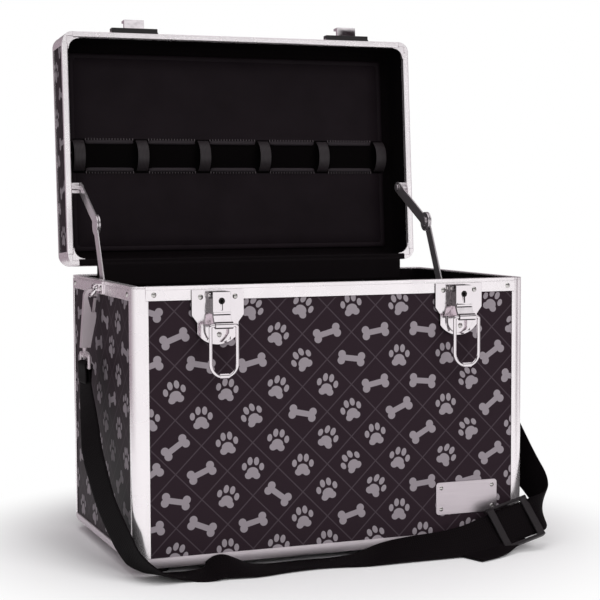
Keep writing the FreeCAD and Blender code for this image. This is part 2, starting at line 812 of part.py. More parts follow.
# Lid rim rail: channel over the lower edge of a lid wall
def lid_rim_rail(along_x):
    inner = lid_wall + skin_t
    points = [(0, lid_rim_chamfer), (0, lid_rim_h), (skin_t, lid_rim_h), (skin_t, lid_rim_web)]
    points += [(lid_wall, lid_rim_web), (lid_wall, lid_rim_inner_h), (inner, lid_rim_inner_h)]
    points += [(inner, lid_rim_chamfer), (inner - lid_rim_chamfer, 0), (lid_rim_chamfer, 0)]
    if along_x:
        face = face_of([V(corner_r - half_w, v - half_d, lid_z + h) for v, h in points])
        return face.extrude(X * (case_width - 2 * corner_r))
    face = face_of([V(v - half_w, corner_r - half_d, lid_z + h) for v, h in points])
    return face.extrude(Y * (case_depth - 2 * corner_r))


def lid_rim_rails():
    front, left = lid_rim_rail(True), lid_rim_rail(False)
    return [front, mirror_y(front), left, mirror_x(left)]


# Gusset plate in an inner corner of the lid rim, its free edge hollowed to a quarter circle
def lid_gusset():
    inner = lid_wall + skin_t
    tip = inner + gusset_tip
    points = [(tip, gusset_w), (inner, gusset_w), (inner, corner_r), (lid_wall, corner_r), (lid_wall, lid_wall)]
    points += [(corner_r, lid_wall), (corner_r, inner), (gusset_w, inner), (gusset_w, tip)]
    corners = [V(a - half_w, b - half_d, lid_z + gusset_lift) for a, b in points]
    near = gusset_w - (gusset_w - tip) / math.sqrt(2)
    middle = V(near - half_w, near - half_d, lid_z + gusset_lift)
    hollow = Part.Arc(corners[-1], middle, corners[0]).toShape()
    face = Part.Face(Part.Wire(Part.makePolygon(corners).Edges + [hollow]))
    return face.extrude(Z * gusset_t)


# Catch on the lid's front: plate, boss and upturned hook for the bail
def catch():
    z0 = lid_z + catch_lift
    front = -half_d - catch_t
    plate = slab(-catch_w / 2, catch_w / 2, front, -half_d, z0, z0 + catch_h)
    pad_z = lid_z + lid_rim_h + run_gap
    pad = slab(-catch_w / 2, catch_w / 2, -half_d, skin_t - half_d, pad_z, z0 + catch_h)
    boss = slab(-catch_boss_w / 2, catch_boss_w / 2, front - catch_boss_t, front, z0, z0 + catch_boss_h)
    hook_z, out = lid_z + catch_hook_rise, -half_d - catch_hook_out
    root = front - catch_boss_t
    lip_top = hook_z + catch_hook_h
    side = [(root, hook_z), (out, hook_z), (out, lip_top), (out + catch_lip_t, lip_top)]
    side += [(out + catch_lip_t, hook_z + catch_neck_h), (root, hook_z + catch_neck_h)]
    hook = face_of([V(-catch_hook_w / 2, y, z) for y, z in side]).extrude(X * catch_hook_w)
    return fused([plate, pad, boss, hook])


def catch_rivets():
    z = lid_z + catch_lift + (catch_h + catch_boss_h) / 2
    return [dome(V(x, -half_d - catch_t, z), -Y, rivet_r, rivet_h) for x in (-catch_rivet_x, catch_rivet_x)]


# Tool strip on the inner board: backing with two bound edges, and arched loops
def tool_strip():
    y = half_d - strip_back
    half_x, half_y = strip_w / 2, strip_h / 2
    backing = slab(-half_x, half_x, y - half_y, y + half_y, board_z - strip_t, board_z)
    bars = []
    for side in (-1, 1):
        edge = y + side * (half_y - strip_bar_edge)
        low, high = sorted((edge, edge - side * strip_bar_h))
        bars.append(slab(-half_x, half_x, low, high, board_z - strip_t - strip_bar_t, board_z - strip_t))
    return fused([backing] + bars)


def tool_loop(x):
    y, z = half_d - strip_back, board_z - strip_t - strip_bar_t
    half = strip_h / 2 - loop_end_inset

    def arch(reach, rise):
        ends = V(x - loop_w / 2, y - reach, z), V(x - loop_w / 2, y + reach, z)
        bow = Part.Arc(ends[0], V(x - loop_w / 2, y, z - rise), ends[1]).toShape()
        chord = Part.LineSegment(ends[1], ends[0]).toShape()
        return Part.Face(Part.Wire([bow, chord])).extrude(X * loop_w)

    return arch(half, loop_rise).cut(arch(half - loop_t * 2, loop_rise - loop_t))


def tool_loops():
    places = [loop_pitch * (k + 0.5) for k in range(loop_pairs)]
    return [tool_loop(side * x) for x in places for side in (-1, 1)]


# Handle: two brackets on the lid's top, and a grip on two arms that folds flat toward the hinge
def handle_bracket():
    z0 = top_z - skin_t
    base = slab(-bracket_w / 2, bracket_w / 2, -bracket_l / 2, bracket_l / 2, z0, z0 + bracket_t)
    axis_z = top_z + handle_lift
    inner = handle_r + handle_gap
    shapes = [base]
    ear_x = bracket_w / 2 - bracket_ear_t
    shapes.append(slab(ear_x, bracket_w / 2, -bracket_ear_r, bracket_ear_r, z0, axis_z))
    shapes.append(rod(V(ear_x, 0, axis_z), X, bracket_ear_r, bracket_ear_t))
    shapes.append(rod(V(ear_x, 0, axis_z), -X, handle_pin_r, inner + handle_r))
    bracket = fused(shapes)
    bracket.translate(X * (handle_x + inner - ear_x))
    return bracket


def carry_handle():
    axis_z = top_z + handle_lift
    shapes = []
    for side in (-1, 1):
        corner = V(side * handle_x, handle_arm, axis_z)
        shapes += [rod(V(side * handle_x, 0, axis_z), Y, handle_r, handle_arm), ball(corner, handle_r)]
        shapes.append(ball(V(side * handle_x, 0, axis_z), handle_r))
    shapes.append(rod(V(-handle_x, handle_arm, axis_z), X, handle_r, 2 * handle_x))
    grip = handle_x * handle_grip_share
    shapes.append(rod(V(-grip, handle_arm, axis_z), X, handle_grip_r, 2 * grip))
    handle = fused(shapes)
    for side in (-1, 1):
        start = V(side * (handle_x + handle_r + overrun), 0, axis_z)
        hole = rod(start, X * -side, handle_pin_r + run_gap, handle_x)
        handle = handle.cut(hole)
    return handle


# Lid stay, left side: pivots seen from the side as (y, z), links stacked inward from the wall
def stay_places():
    lid_pivot = V(0, axis_y - stay_lid_back, rim_z + stay_lid_rise)
    turned = Part.Vertex(lid_pivot)
    turned.rotate(hinge_line, X, -open_angle)
    lid_pivot = turned.Point
    body_pivot = V(0, axis_y - stay_body_back, rim_z - stay_body_drop)
    elbow = V(0, axis_y - stay_elbow_back, rim_z + stay_elbow_rise)
    return lid_pivot, body_pivot, elbow


def stay_planes():
    outer = rim_w - half_w + stay_wall_gap
    return outer, outer + stay_t + stay_gap


# One flat link with round ends between two pivots, from plane x0 inward
def stay_link(x0, start, end, end_r, hole_at):
    width = stay_w / 2
    along = V(end.x - start.x, end.y - start.y, end.z - start.z).normalize()
    aside = V(0, -along.z, along.y) * width
    corners = [start + aside, end + aside, end - aside, start - aside]
    bar = face_of([V(x0, p.y, p.z) for p in corners]).extrude(X * stay_t)
    ends = [rod(V(x0, start.y, start.z), X, width, stay_t), rod(V(x0, end.y, end.z), X, end_r, stay_t)]
    link = fused([bar] + ends)
    hole_r = stay_stud_r + run_gap
    return link.cut(rod(V(x0 - overrun, hole_at.y, hole_at.z), X, hole_r, stay_t + 2 * overrun))


def stay_lower():
    outer = stay_planes()[0]
    elbow = stay_places()[2]
    body_pivot = stay_places()[1]
    return stay_link(outer, body_pivot, elbow, stay_elbow_r, body_pivot)


def stay_upper():
    inner = stay_planes()[1]
    elbow = stay_places()[2]
    lid_pivot = stay_places()[0]
    link = stay_link(inner, lid_pivot, elbow, stay_elbow_r, lid_pivot)
    button = rod(V(inner + stay_t, elbow.y, elbow.z), X, stay_rivet_r, stay_head_t)
    return fused([link, button])


# Stud from a wall through a link's eye, with a head over the link
def stay_stud(wall_x, pivot, link_x):
    head_x = link_x + stay_t + stay_gap / 2
    stud = rod(V(wall_x, pivot.y, pivot.z), X, stay_stud_r, head_x - wall_x)
    head = rod(V(head_x, pivot.y, pivot.z), X, stay_head_r, stay_head_t)
    return fused([stud, head])


def stay_body_stud():
    return stay_stud(rim_w - half_w, stay_places()[1], stay_planes()[0])


def stay_lid_stud():
    wall_x, pivot, link_x = lid_wall + skin_t - half_w, stay_places()[0], stay_planes()[1]
    half, thick = stay_tab_w / 2, stay_tab_t / 2
    tab = slab(wall_x, link_x - stay_gap, pivot.y - half, pivot.y + half, pivot.z - thick, pivot.z + thick)
    tab.rotate(pivot, X, -open_angle)
    return fused([tab, stay_stud(wall_x, pivot, link_x)])


# Frames along the strap: centre, direction along it, across it and through it
def strap_frame(centre, along, across):
    along = V(along.x, along.y, along.z).normalize()
    across = (across - along * across.dot(along)).normalize()
    return centre, along, across, across.cross(along)


def strap_frames():
    centres = []
    for x, y, z, *across in strap_route:
        rest_z = strap_w / 2 * abs(V(*across).normalize().z) + strap_t / 2 + floor_gap
        centres.append(V(x, y, rest_z if z is None else z))
    last = len(centres) - 1
    frames = []
    for k, (x, y, z, *across) in enumerate(strap_route):
        along = centres[min(k + 1, last)] - centres[max(k - 1, 0)]
        frames.append(strap_frame(centres[k], along, V(*across)))
    return frames


# Length of webbing as flat sections joined in turn
def webbing(frames, width, thickness):
    wires = []
    for centre, along, across, through in frames:
        wide, thick = across * (width / 2), through * (thickness / 2)
        corners = [centre + wide + thick, centre - wide + thick]
        corners += [centre - wide - thick, centre + wide - thick]
        wires.append(Part.makePolygon(corners + corners[:1]))
    return Part.makeLoft(wires, True, True)


# Folded end of the webbing, sewn double, with a round eye for the link's lower bar
def strap_end(frame, bar, way, onward):
    width = strap_w - 2 * rest_gap
    start = strap_frame(bar, (frame[0] - bar) * onward, way)
    sleeve = webbing([start, frame], width, 2 * strap_t)
    inner_r = link_wire_r + strap_gap
    eye = rod(bar - way * (width / 2), way, inner_r + strap_t, width)
    return fused([sleeve, eye]).cut(rod(bar - way * strap_w, way, inner_r, 2 * strap_w))


def strap_webbing():
    frames = strap_frames()
    bar, way = link_top() - Z * link_h, link_way()
    left = strap_end(frames[0], bar, way * -1, 1)
    right = strap_end(frames[-1], V(-bar.x, bar.y, bar.z), V(way.x, -way.y, 0), -1)
    return fused([left, webbing(frames, strap_w, strap_t), right])


# Slider: two legs over the webbing and a bar under it, held together by its long sides
def strap_slider():
    frames = strap_frames()
    centre, along, across, through = frames[round(slider_place_share * len(frames))]
    half_a, half_b = slider_along / 2, slider_across / 2
    low, high = strap_t / 2 + slider_gap, strap_t / 2 + slider_gap + slider_t
    shapes = [slab(-half_b, half_b, -slider_leg / 2, slider_leg / 2, -high, -low)]
    for a in (-half_a, half_a - slider_leg):
        shapes.append(slab(-half_b, half_b, a, a + slider_leg, low, high))
    for b in (-half_b, half_b - slider_side):
        shapes.append(slab(b, b + slider_side, -half_a, half_a, -high, high))
    slider = fused(shapes)
    place = FreeCAD.Matrix(
        across.x, along.x, through.x, centre.x,
        across.y, along.y, through.y, centre.y,
        across.z, along.z, through.z, centre.z,
        0, 0, 0, 1,
    )
    slider.Placement = FreeCAD.Placement(place)
    return slider


# Rivets of one size on the body: bands, latch plates, hinge leaves and strap anchors
def case_rivets():
    band_z = rim_z - band_rivet_drop
    heads = four_corners(dome(V(band_rivet_inset - half_w, -half_d, band_z), -Y, rivet_r, rivet_h))
    heads += four_corners(dome(V(-half_w, band_rivet_inset - half_d, band_z), -X, rivet_r, rivet_h))
    front, top = -half_d - latch_plate_t, rim_z - latch_plate_drop
    for x in (-latch_rivet_x, latch_rivet_x):
        heads += at_latches(dome(V(x, front, top - latch_rivet_drop), -Y, rivet_r, rivet_h))
    boss_face = V(0, front - latch_boss_t, top - latch_plate_h + latch_rivet_rise + latch_boss_rise)
    heads += at_latches(dome(boss_face, -Y, rivet_r, rivet_h))
    heads += hinge_rivets(-1)
    for y in (-anchor_rivet_y, anchor_rivet_y):
        z = rim_z - anchor_drop - anchor_h / 2
        heads += both_sides(dome(V(-half_w - anchor_t, y, z), -X, rivet_r, rivet_h))
    return heads


def hinge_rivets(way):
    z = rim_z + way * (hinge_leaf_drop + hinge_leaf_h * hinge_rivet_level_share)
    heads = []
    for side in (-1, 1):
        x = hinge_x + side * hinge_w * hinge_rivet_share
        heads += both_sides(dome(V(x, half_d + hinge_leaf_t, z), Y, rivet_r, rivet_h))
    return heads


def lid_rivets():
    heads = hinge_rivets(1)
    for head in catch_rivets():
        heads += at_latches(head)
    return heads


def body_nodes():
    nodes = boards()
    nodes["body_lining"] = [body_lining()]
    low = base_z + rail_seat
    post = upright(wall, rail_h - rail_seat, band_h - cap_t, low, rim_z - cap_t)
    nodes["corner_posts"] = four_corners(post)
    nodes["bottom_rails"] = rails(base_z, 1, wall)
    nodes["bottom_corners"] = four_corners(corner_fitting(base_z, 1, wall))
    nodes["rim_bands"] = rim_bands()
    nodes["rim_corner_caps"] = four_corners(rim_cap())
    nodes["case_rivets"] = case_rivets()
    nodes["rubber_feet"] = four_corners(foot())
    nodes["foot_screws"] = four_corners(foot_screw())
    nodes["name_plate"] = [name_plate()]
    nodes["name_plate_rivets"] = name_plate_rivets()
    nodes["hinge_body_leaves"] = both_sides(hinge_body_leaf())
    nodes["pivot_pins"] = both_sides(hinge_pin()) + list(at_latches(latch_axle()))
    nodes["hinge_flap"] = [hinge_flap()]
    nodes["strap_anchor_plates"] = both_sides(strap_anchor())
    nodes["strap_rings"] = both_sides(strap_ring())
    nodes["stay_body_studs"] = both_sides(stay_body_stud())
    return nodes


def latch_nodes():
    nodes = {}
    pieces = {"plate": latch_plate(), "lever": latch_lever(), "plug": latch_plug(), "bail": latch_bail()}
    for name, shape in pieces.items():
        left, right = at_latches(shape)
        nodes["latch_left_" + name] = [left]
        nodes["latch_right_" + name] = [right]
    return nodes


# Lid pieces are made in the closed place and then turned open about the hinge line
def lid_nodes():
    nodes = lid_boards()
    nodes["lid_lining"] = [lid_lining()]
    nodes["lid_inner_board"] = [lid_board()]
    nodes["lid_rim_rails"] = lid_rim_rails()
    nodes["lid_top_rails"] = rails(top_z, -1, lid_wall)
    bare_high = rail_h - rail_seat
    post = upright(lid_wall, lid_rim_h, bare_high, lid_z, top_z - rail_seat)
    nodes["lid_corner_posts"] = four_corners(post)
    nodes["lid_top_corners"] = four_corners(corner_fitting(top_z, -1, lid_wall))
    nodes["lid_gussets"] = four_corners(lid_gusset())
    nodes["lid_catches"] = list(at_latches(catch()))
    nodes["lid_rivets"] = lid_rivets()
    nodes["tool_strip"] = [tool_strip()]
    nodes["tool_loops"] = tool_loops()
    nodes["hinge_lid_leaves"] = both_sides(hinge_lid_leaf())
    nodes["handle_brackets"] = both_sides(handle_bracket())
    nodes["carry_handle"] = [carry_handle()]
    for name in nodes:
        nodes[name] = [opened(shape) for shape in nodes[name]]
    nodes["stay_lid_studs"] = both_sides(stay_lid_stud())
    return nodes


def stay_nodes():
    lower, upper = stay_lower(), stay_upper()
    return {
        "stay_left_lower": [lower],
        "stay_right_lower": [mirror_x(lower)],
        "stay_left_upper": [upper],
        "stay_right_upper": [mirror_x(upper)],
    }


def strap_nodes():
    hook, link, gate = snap_hook(), strap_link(), hook_gate()
    return {
        "left_snap_hook": [hook, link],
        "right_snap_hook": [mirror_x(hook), mirror_x(link)],
        "left_hook_gate": [gate],
        "right_hook_gate": [mirror_x(gate)],
        "strap_webbing": [strap_webbing()],
        "strap_slider": [strap_slider()],
    }


os.makedirs("parts", exist_ok=True)
for group in (body_nodes(), latch_nodes(), lid_nodes(), stay_nodes(), strap_nodes()):
    for name, solids in group.items():
        shape = solids[0] if len(solids) == 1 else Part.makeCompound(solids)
        shape.exportStep("parts/" + name + ".step")
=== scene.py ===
import json

import bmesh
import bpy
import numpy as np
from mathutils import Matrix, Vector

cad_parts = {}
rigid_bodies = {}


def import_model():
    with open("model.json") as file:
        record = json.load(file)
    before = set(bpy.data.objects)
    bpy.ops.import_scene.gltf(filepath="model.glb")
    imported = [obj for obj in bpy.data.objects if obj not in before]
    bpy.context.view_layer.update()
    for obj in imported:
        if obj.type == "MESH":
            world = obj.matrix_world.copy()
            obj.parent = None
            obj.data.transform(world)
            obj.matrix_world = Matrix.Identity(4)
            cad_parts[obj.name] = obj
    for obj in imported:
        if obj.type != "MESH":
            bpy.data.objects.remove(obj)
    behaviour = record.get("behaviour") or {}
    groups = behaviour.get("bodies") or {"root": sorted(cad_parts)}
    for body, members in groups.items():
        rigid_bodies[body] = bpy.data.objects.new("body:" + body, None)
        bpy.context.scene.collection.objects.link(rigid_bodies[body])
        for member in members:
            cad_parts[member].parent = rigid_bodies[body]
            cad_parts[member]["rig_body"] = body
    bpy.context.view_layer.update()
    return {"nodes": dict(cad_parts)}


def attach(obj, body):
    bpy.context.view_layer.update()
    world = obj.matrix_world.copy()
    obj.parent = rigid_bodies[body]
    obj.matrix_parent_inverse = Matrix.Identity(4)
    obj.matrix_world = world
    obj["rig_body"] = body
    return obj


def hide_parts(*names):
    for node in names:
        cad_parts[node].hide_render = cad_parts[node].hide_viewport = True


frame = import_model()
shell = frame["nodes"]

# Studio: a pale sweep of paper under the case, soft white light from the front right, a dim rear, a grey
# flag at the right and a dark gap between the front and top lights. The camera stands at the photograph's
# place, a little above the rim.
scene = bpy.context.scene
scene.view_settings.view_transform = "Standard"


def tint(code):
    """Linear colour from an sRGB hex code, by the standard curve for each channel."""
    srgb = np.array([int(code[k:k + 2], 16) for k in (1, 3, 5)]) / 255
    linear = np.where(srgb <= 0.04045, srgb / 12.92, ((srgb + 0.055) / 1.055) ** 2.4)
    return (*linear.tolist(), 1.0)


def add(tree, kind, sockets=None, **settings):
    """One shader node with its settings; each socket gets a value, or a link from another node's output."""
    made = tree.nodes.new("ShaderNode" + kind)
    for name, value in settings.items():
        setattr(made, name, value)
    for socket, value in (sockets or {}).items():
        if isinstance(value, bpy.types.NodeSocket):
            tree.links.new(value, made.inputs[socket])
        else:
            made.inputs[socket].default_value = value
    return made


def coat(name, **values):
    """New material with its Principled shader's own sockets set; returns material, tree and shader."""
    made = bpy.data.materials.new(name)
    made.use_nodes = True
    shader = made.node_tree.nodes["Principled BSDF"]
    for socket, value in values.items():
        shader.inputs[socket.replace("_", " ")].default_value = value
    return made, made.node_tree, shader


def grid_quads(rows, cols, around=False):
    """Quads between neighbouring points of a rows x cols grid, closed along each row if it goes around."""
    r = np.arange(rows - 1)[:, None]
    c = np.arange(cols if around else cols - 1)[None, :]
    n = (c + 1) % cols
    quads = np.stack([r * cols + c, r * cols + n, (r + 1) * cols + n, (r + 1) * cols + c], -1)
    return quads.reshape(-1, 4).tolist()


def mesh_of(name, points, faces, uv=None):
    """Smooth mesh from an array of points, in metres, and a list of faces; uv has one pair for each point."""
    mesh = bpy.data.meshes.new(name)
    mesh.from_pydata(points.reshape(-1, 3).tolist(), [], faces)
    mesh.polygons.foreach_set("use_smooth", np.ones(len(mesh.polygons), bool))
    if uv is not None:
        layer = mesh.uv_layers.new(name="UVMap")
        corners = np.zeros(len(mesh.loops), np.int32)
        mesh.loops.foreach_get("vertex_index", corners)
        layer.data.foreach_set("uv", uv.reshape(-1, 2)[corners].astype(np.float32).ravel())
    return mesh


def place(name, mesh, material):
    """Object of a mesh at the origin, with its material."""
    made = bpy.data.objects.new(name, mesh)
    scene.collection.objects.link(made)
    mesh.materials.append(material)
    return made


FADE_FROM, FADE_TO, RING = 0.19, 0.36, 72
paper, tree, shader = coat("studio_paper", Roughness=0.9, Base_Color=tint("#f6f5f6"))
spot = add(tree, "TexCoord").outputs["Object"]
spread = add(tree, "VectorMath", {0: spot}, operation="LENGTH").outputs["Value"]
far = add(tree, "MapRange", {"Value": spread, "From Min": FADE_FROM, "From Max": FADE_TO},
          interpolation_type="SMOOTHSTEP")
rays = add(tree, "LightPath").outputs
seen = add(tree, "Math", {0: rays["Is Camera Ray"], 1: rays["Is Glossy Ray"]}, operation="MAXIMUM").outputs[0]
fade = add(tree, "Math", {0: far.outputs[0], 1: seen}, operation="MULTIPLY").outputs[0]
glow = add(tree, "Emission", {"Color": (1, 1, 1, 1), "Strength": 1.0}).outputs[0]
sweep = add(tree, "MixShader", {0: fade, 1: shader.outputs[0], 2: glow}).outputs[0]
tree.links.new(sweep, tree.nodes["Material Output"].inputs["Surface"])
ring = np.linspace(0, 2 * np.pi, RING + 1)[:-1]
reach = np.array([0.001, 0.5, 0.95])[:, None]
disc = np.stack([reach * np.cos(ring), reach * np.sin(ring), np.zeros((len(reach), RING))], -1)
floor = place("studio_floor", mesh_of("studio_floor", disc, grid_quads(len(reach), RING, True)), paper)

FLAG_X, GAP_Z = 0.82, 0.48
world = bpy.data.worlds.new("studio_air")
world.use_nodes = True
scene.world = world
tree = world.node_tree
rays = add(tree, "LightPath")
aim = add(tree, "SeparateXYZ", {0: add(tree, "TexCoord").outputs["Generated"]})
front = add(tree, "MapRange", {"Value": aim.outputs["Y"], "From Min": 0.7, "From Max": -0.25}).outputs[0]
air = add(tree, "MixRGB", {"Fac": front, "Color1": tint("#9b8d95"), "Color2": tint("#ffffff")}).outputs[0]
turn = add(tree, "Math", {0: aim.outputs["X"], 1: FLAG_X}, operation="SUBTRACT").outputs[0]
turn = add(tree, "Math", {0: turn}, operation="ABSOLUTE").outputs[0]
flag = add(tree, "MapRange", {"Value": turn, "From Min": 0.18, "From Max": 0.06},
           interpolation_type="SMOOTHSTEP").outputs[0]
flag = add(tree, "Math", {0: flag, 1: front}, operation="MULTIPLY").outputs[0]
air = add(tree, "MixRGB", {"Fac": flag, "Color1": air, "Color2": tint("#8a8085")}).outputs[0]
rise = add(tree, "Math", {0: aim.outputs["Z"], 1: GAP_Z}, operation="SUBTRACT").outputs[0]
rise = add(tree, "Math", {0: rise}, operation="ABSOLUTE").outputs[0]
gap = add(tree, "MapRange", {"Value": rise, "From Min": 0.27, "From Max": 0.12},
          interpolation_type="SMOOTHSTEP").outputs[0]
gap = add(tree, "Math", {0: gap, 1: rays.outputs["Is Glossy Ray"]}, operation="MULTIPLY").outputs[0]
air = add(tree, "MixRGB", {"Fac": gap, "Color1": air, "Color2": tint("#2e282b")}).outputs[0]
seen = add(tree, "MixRGB", {"Fac": rays.outputs["Is Camera Ray"], "Color1": air, "Color2": (1, 1, 1, 1)})
power = add(tree, "MapRange", {"Value": rays.outputs["Is Diffuse Ray"], "To Min": 1.0, "To Max": 0.5})
back = tree.nodes["Background"]
tree.links.new(seen.outputs[0], back.inputs["Color"])
tree.links.new(power.outputs[0], back.inputs["Strength"])


def softbox(name, spot, aim_at, size, watts):
    """Square area lamp at a spot, turned to a point; metal shows the room and not the lamp itself."""
    lamp = bpy.data.lights.new(name, "AREA")
    lamp.size, lamp.energy = size, watts
    made = bpy.data.objects.new(name, lamp)
    scene.collection.objects.link(made)
    made.location = spot
    made.visible_glossy = False
    made.rotation_euler = (Vector(aim_at) - Vector(spot)).to_track_quat("-Z", "Y").to_euler()


softbox("front_softbox", (0.75, -1.9, 1.35), (0, 0, 0.2), 1.3, 27)
softbox("top_softbox", (-0.3, -0.2, 2.1), (0, 0, 0.2), 1.4, 15)

CAMERA_AT, FOCAL_PX, PICTURE_PX, SENSOR_MM = (-0.5186, -1.36244, 0.319), 1574.8, 600, 36.0
yaw, pitch, roll = 0.3688, 0.0675, -0.0037
ahead = np.array([np.sin(yaw) * np.cos(pitch), np.cos(yaw) * np.cos(pitch), -np.sin(pitch)])
level = np.array([np.cos(yaw), -np.sin(yaw), 0])
above = np.cross(level, ahead)
right = np.cos(roll) * level + np.sin(roll) * above
up = np.cos(roll) * above - np.sin(roll) * level
lens = bpy.data.cameras.new("photo_camera")
lens.sensor_width, lens.lens = SENSOR_MM, FOCAL_PX * SENSOR_MM / PICTURE_PX
camera = bpy.data.objects.new("photo_camera", lens)
scene.collection.objects.link(camera)
turned = Matrix(np.stack([right, up, -ahead], 1)).to_4x4()
camera.matrix_world = Matrix.Translation(CAMERA_AT) @ turned
scene.camera = camera

# Boards: thin plywood walls faced with printed melamine laminate, slid into the aluminium edges.
# The print is a set of pale grey paw marks and bones on an aubergine-black ground, one to each field of
# a fine diamond lattice.
FIELD, LINE_FROM, LINE_FULL = 0.0322, 0.482, 0.49
HALF_PAW = ((2.9, 6.9, 2.3, 3.5), (7.8, 2.2, 2.2, 3.2), (0, -2.6, 5.2, 4.4), (3.6, -5.4, 3.3, 3.0))
KNOB_X, KNOB_Y, KNOB_R, SHAFT_HALF, BONES_FROM = 9.2, 2.7, 3.5, 2.5, 0.6


def laminate(name, across, rise, shift):
    """Satin melamine: a smooth printed sheet under clear resin, with a fine peel in its gloss. A paw is the
    nearest of a few ovals, a bone the nearer of its shaft and its knobs, mirrored; sizes in millimetres."""
    made, tree, shader = coat(name, Roughness=0.5, Specular_IOR_Level=0.05)
    spot = add(tree, "TexCoord").outputs["Object"]
    axes = add(tree, "SeparateXYZ", {0: spot})
    face = add(tree, "CombineXYZ", {0: axes.outputs[across], 1: axes.outputs[rise]}).outputs[0]
    scaled = add(tree, "Mapping", {
        "Vector": face, "Location": shift, "Rotation": (0, 0, np.pi / 4), "Scale": (1 / FIELD, 1 / FIELD, 1),
    }).outputs[0]
    field = add(tree, "VectorMath", {0: scaled}, operation="FLOOR").outputs[0]
    inside = add(tree, "VectorMath", {0: scaled}, operation="FRACTION").outputs[0]
    centred = add(tree, "VectorMath", {0: inside, 1: (0.5, 0.5, 0)}, operation="SUBTRACT").outputs[0]
    folded = add(tree, "VectorMath", {0: centred}, operation="ABSOLUTE").outputs[0]
    edge = add(tree, "SeparateXYZ", {0: folded})
    nearest = add(tree, "Math", {0: edge.outputs[0], 1: edge.outputs[1]}, operation="MAXIMUM").outputs[0]
    line = add(tree, "MapRange", {"Value": nearest, "From Min": LINE_FROM, "From Max": LINE_FULL})
    line = line.outputs[0]
    chance = add(tree, "TexWhiteNoise", {"Vector": field}, noise_dimensions="2D")
    lean = add(tree, "MapRange", {"Value": chance.outputs["Value"], "To Min": -1.45, "To Max": -0.12})
    lean = lean.outputs[0]
    mark = add(tree, "VectorRotate", {"Vector": centred, "Angle": lean}, rotation_type="Z_AXIS").outputs[0]
    mark = add(tree, "VectorMath", {0: mark, "Scale": FIELD * 1000}, operation="SCALE").outputs[0]
    whole = add(tree, "VectorMath", {0: mark}, operation="ABSOLUTE").outputs[0]
    parts = add(tree, "SeparateXYZ", {0: mark})
    halves = add(tree, "SeparateXYZ", {0: whole})
    paw = add(tree, "CombineXYZ", {0: halves.outputs[0], 1: parts.outputs[1]}).outputs[0]
    near = None
    for x, y, wide, tall in HALF_PAW:
        oval = add(tree, "Mapping", {
            "Vector": paw, "Location": (-x / wide, -y / tall, 0), "Scale": (1 / wide, 1 / tall, 1),
        }).outputs[0]
        far = add(tree, "VectorMath", {0: oval}, operation="LENGTH").outputs["Value"]
        near = far if near is None else add(tree, "Math", {0: near, 1: far}, operation="MINIMUM").outputs[0]
    knob = add(tree, "Mapping", {
        "Vector": whole, "Location": (-KNOB_X / KNOB_R, -KNOB_Y / KNOB_R, 0),
        "Scale": (1 / KNOB_R, 1 / KNOB_R, 1),
    })
    knob = add(tree, "VectorMath", {0: knob.outputs[0]}, operation="LENGTH").outputs["Value"]
    long = add(tree, "Math", {0: halves.outputs[0], 1: KNOB_X}, operation="DIVIDE").outputs[0]
    thin = add(tree, "Math", {0: halves.outputs[1], 1: SHAFT_HALF}, operation="DIVIDE").outputs[0]
    shaft = add(tree, "Math", {0: long, 1: thin}, operation="MAXIMUM").outputs[0]
    bone = add(tree, "Math", {0: knob, 1: shaft}, operation="MINIMUM").outputs[0]
    which = add(tree, "SeparateColor", {0: chance.outputs["Color"]})
    kind = add(tree, "Math", {0: which.outputs[1], 1: BONES_FROM}, operation="GREATER_THAN").outputs[0]
    shape = add(tree, "Mix", {0: kind, 2: near, 3: bone}).outputs[0]
    inked = add(tree, "MapRange", {"Value": shape, "From Min": 1.04, "From Max": 0.96}).outputs[0]
    ground = add(tree, "MixRGB", {"Fac": line, "Color1": tint("#2a2026"), "Color2": tint("#463d43")})
    ground = ground.outputs[0]
    ink = add(tree, "MixRGB", {"Fac": inked, "Color1": ground, "Color2": tint("#8f878d")}).outputs[0]
    tree.links.new(ink, shader.inputs["Base Color"])
    peel = add(tree, "TexNoise", {"Vector": spot, "Scale": 1 / 0.0016, "Detail": 2.0}).outputs[0]
    bump = add(tree, "Bump", {"Height": peel, "Strength": 0.04, "Distance": 0.0002}).outputs[0]
    tree.links.new(bump, shader.inputs["Normal"])
    return made


front_face = laminate("printed_melamine_front", 0, 2, (0.1, 0.35, 0))
side_face = laminate("printed_melamine_side", 1, 2, (0.4, 0.2, 0))
flat_face = laminate("printed_melamine_flat", 0, 1, (0.2, 0.6, 0))


def dressed(material, *names):
    """Gives CAD nodes whose shape is right a material of their own."""
    for name in names:
        shell[name].data.materials.clear()
        shell[name].data.materials.append(material)


# The lid stands open, so its top is upright and its front and rear walls lie flat.
for node, material in (
    ("front_panel", front_face), ("rear_panel", front_face), ("left_panel", side_face),
    ("right_panel", side_face), ("bottom_panel", flat_face), ("lid_top_panel", front_face),
    ("lid_front_wall", flat_face), ("lid_rear_wall", flat_face), ("lid_left_wall", side_face),
    ("lid_right_wall", side_face),
):
    dressed(material, node)

# Edges: extruded aluminium profiles, satin anodised, that the boards slide into, with cast corner
# fittings and a folded band along the rim. Their cut edges are broken by a small chamfer.
MERGE, LEVEL, SHARP = 1e-5, 0.01, 0.6


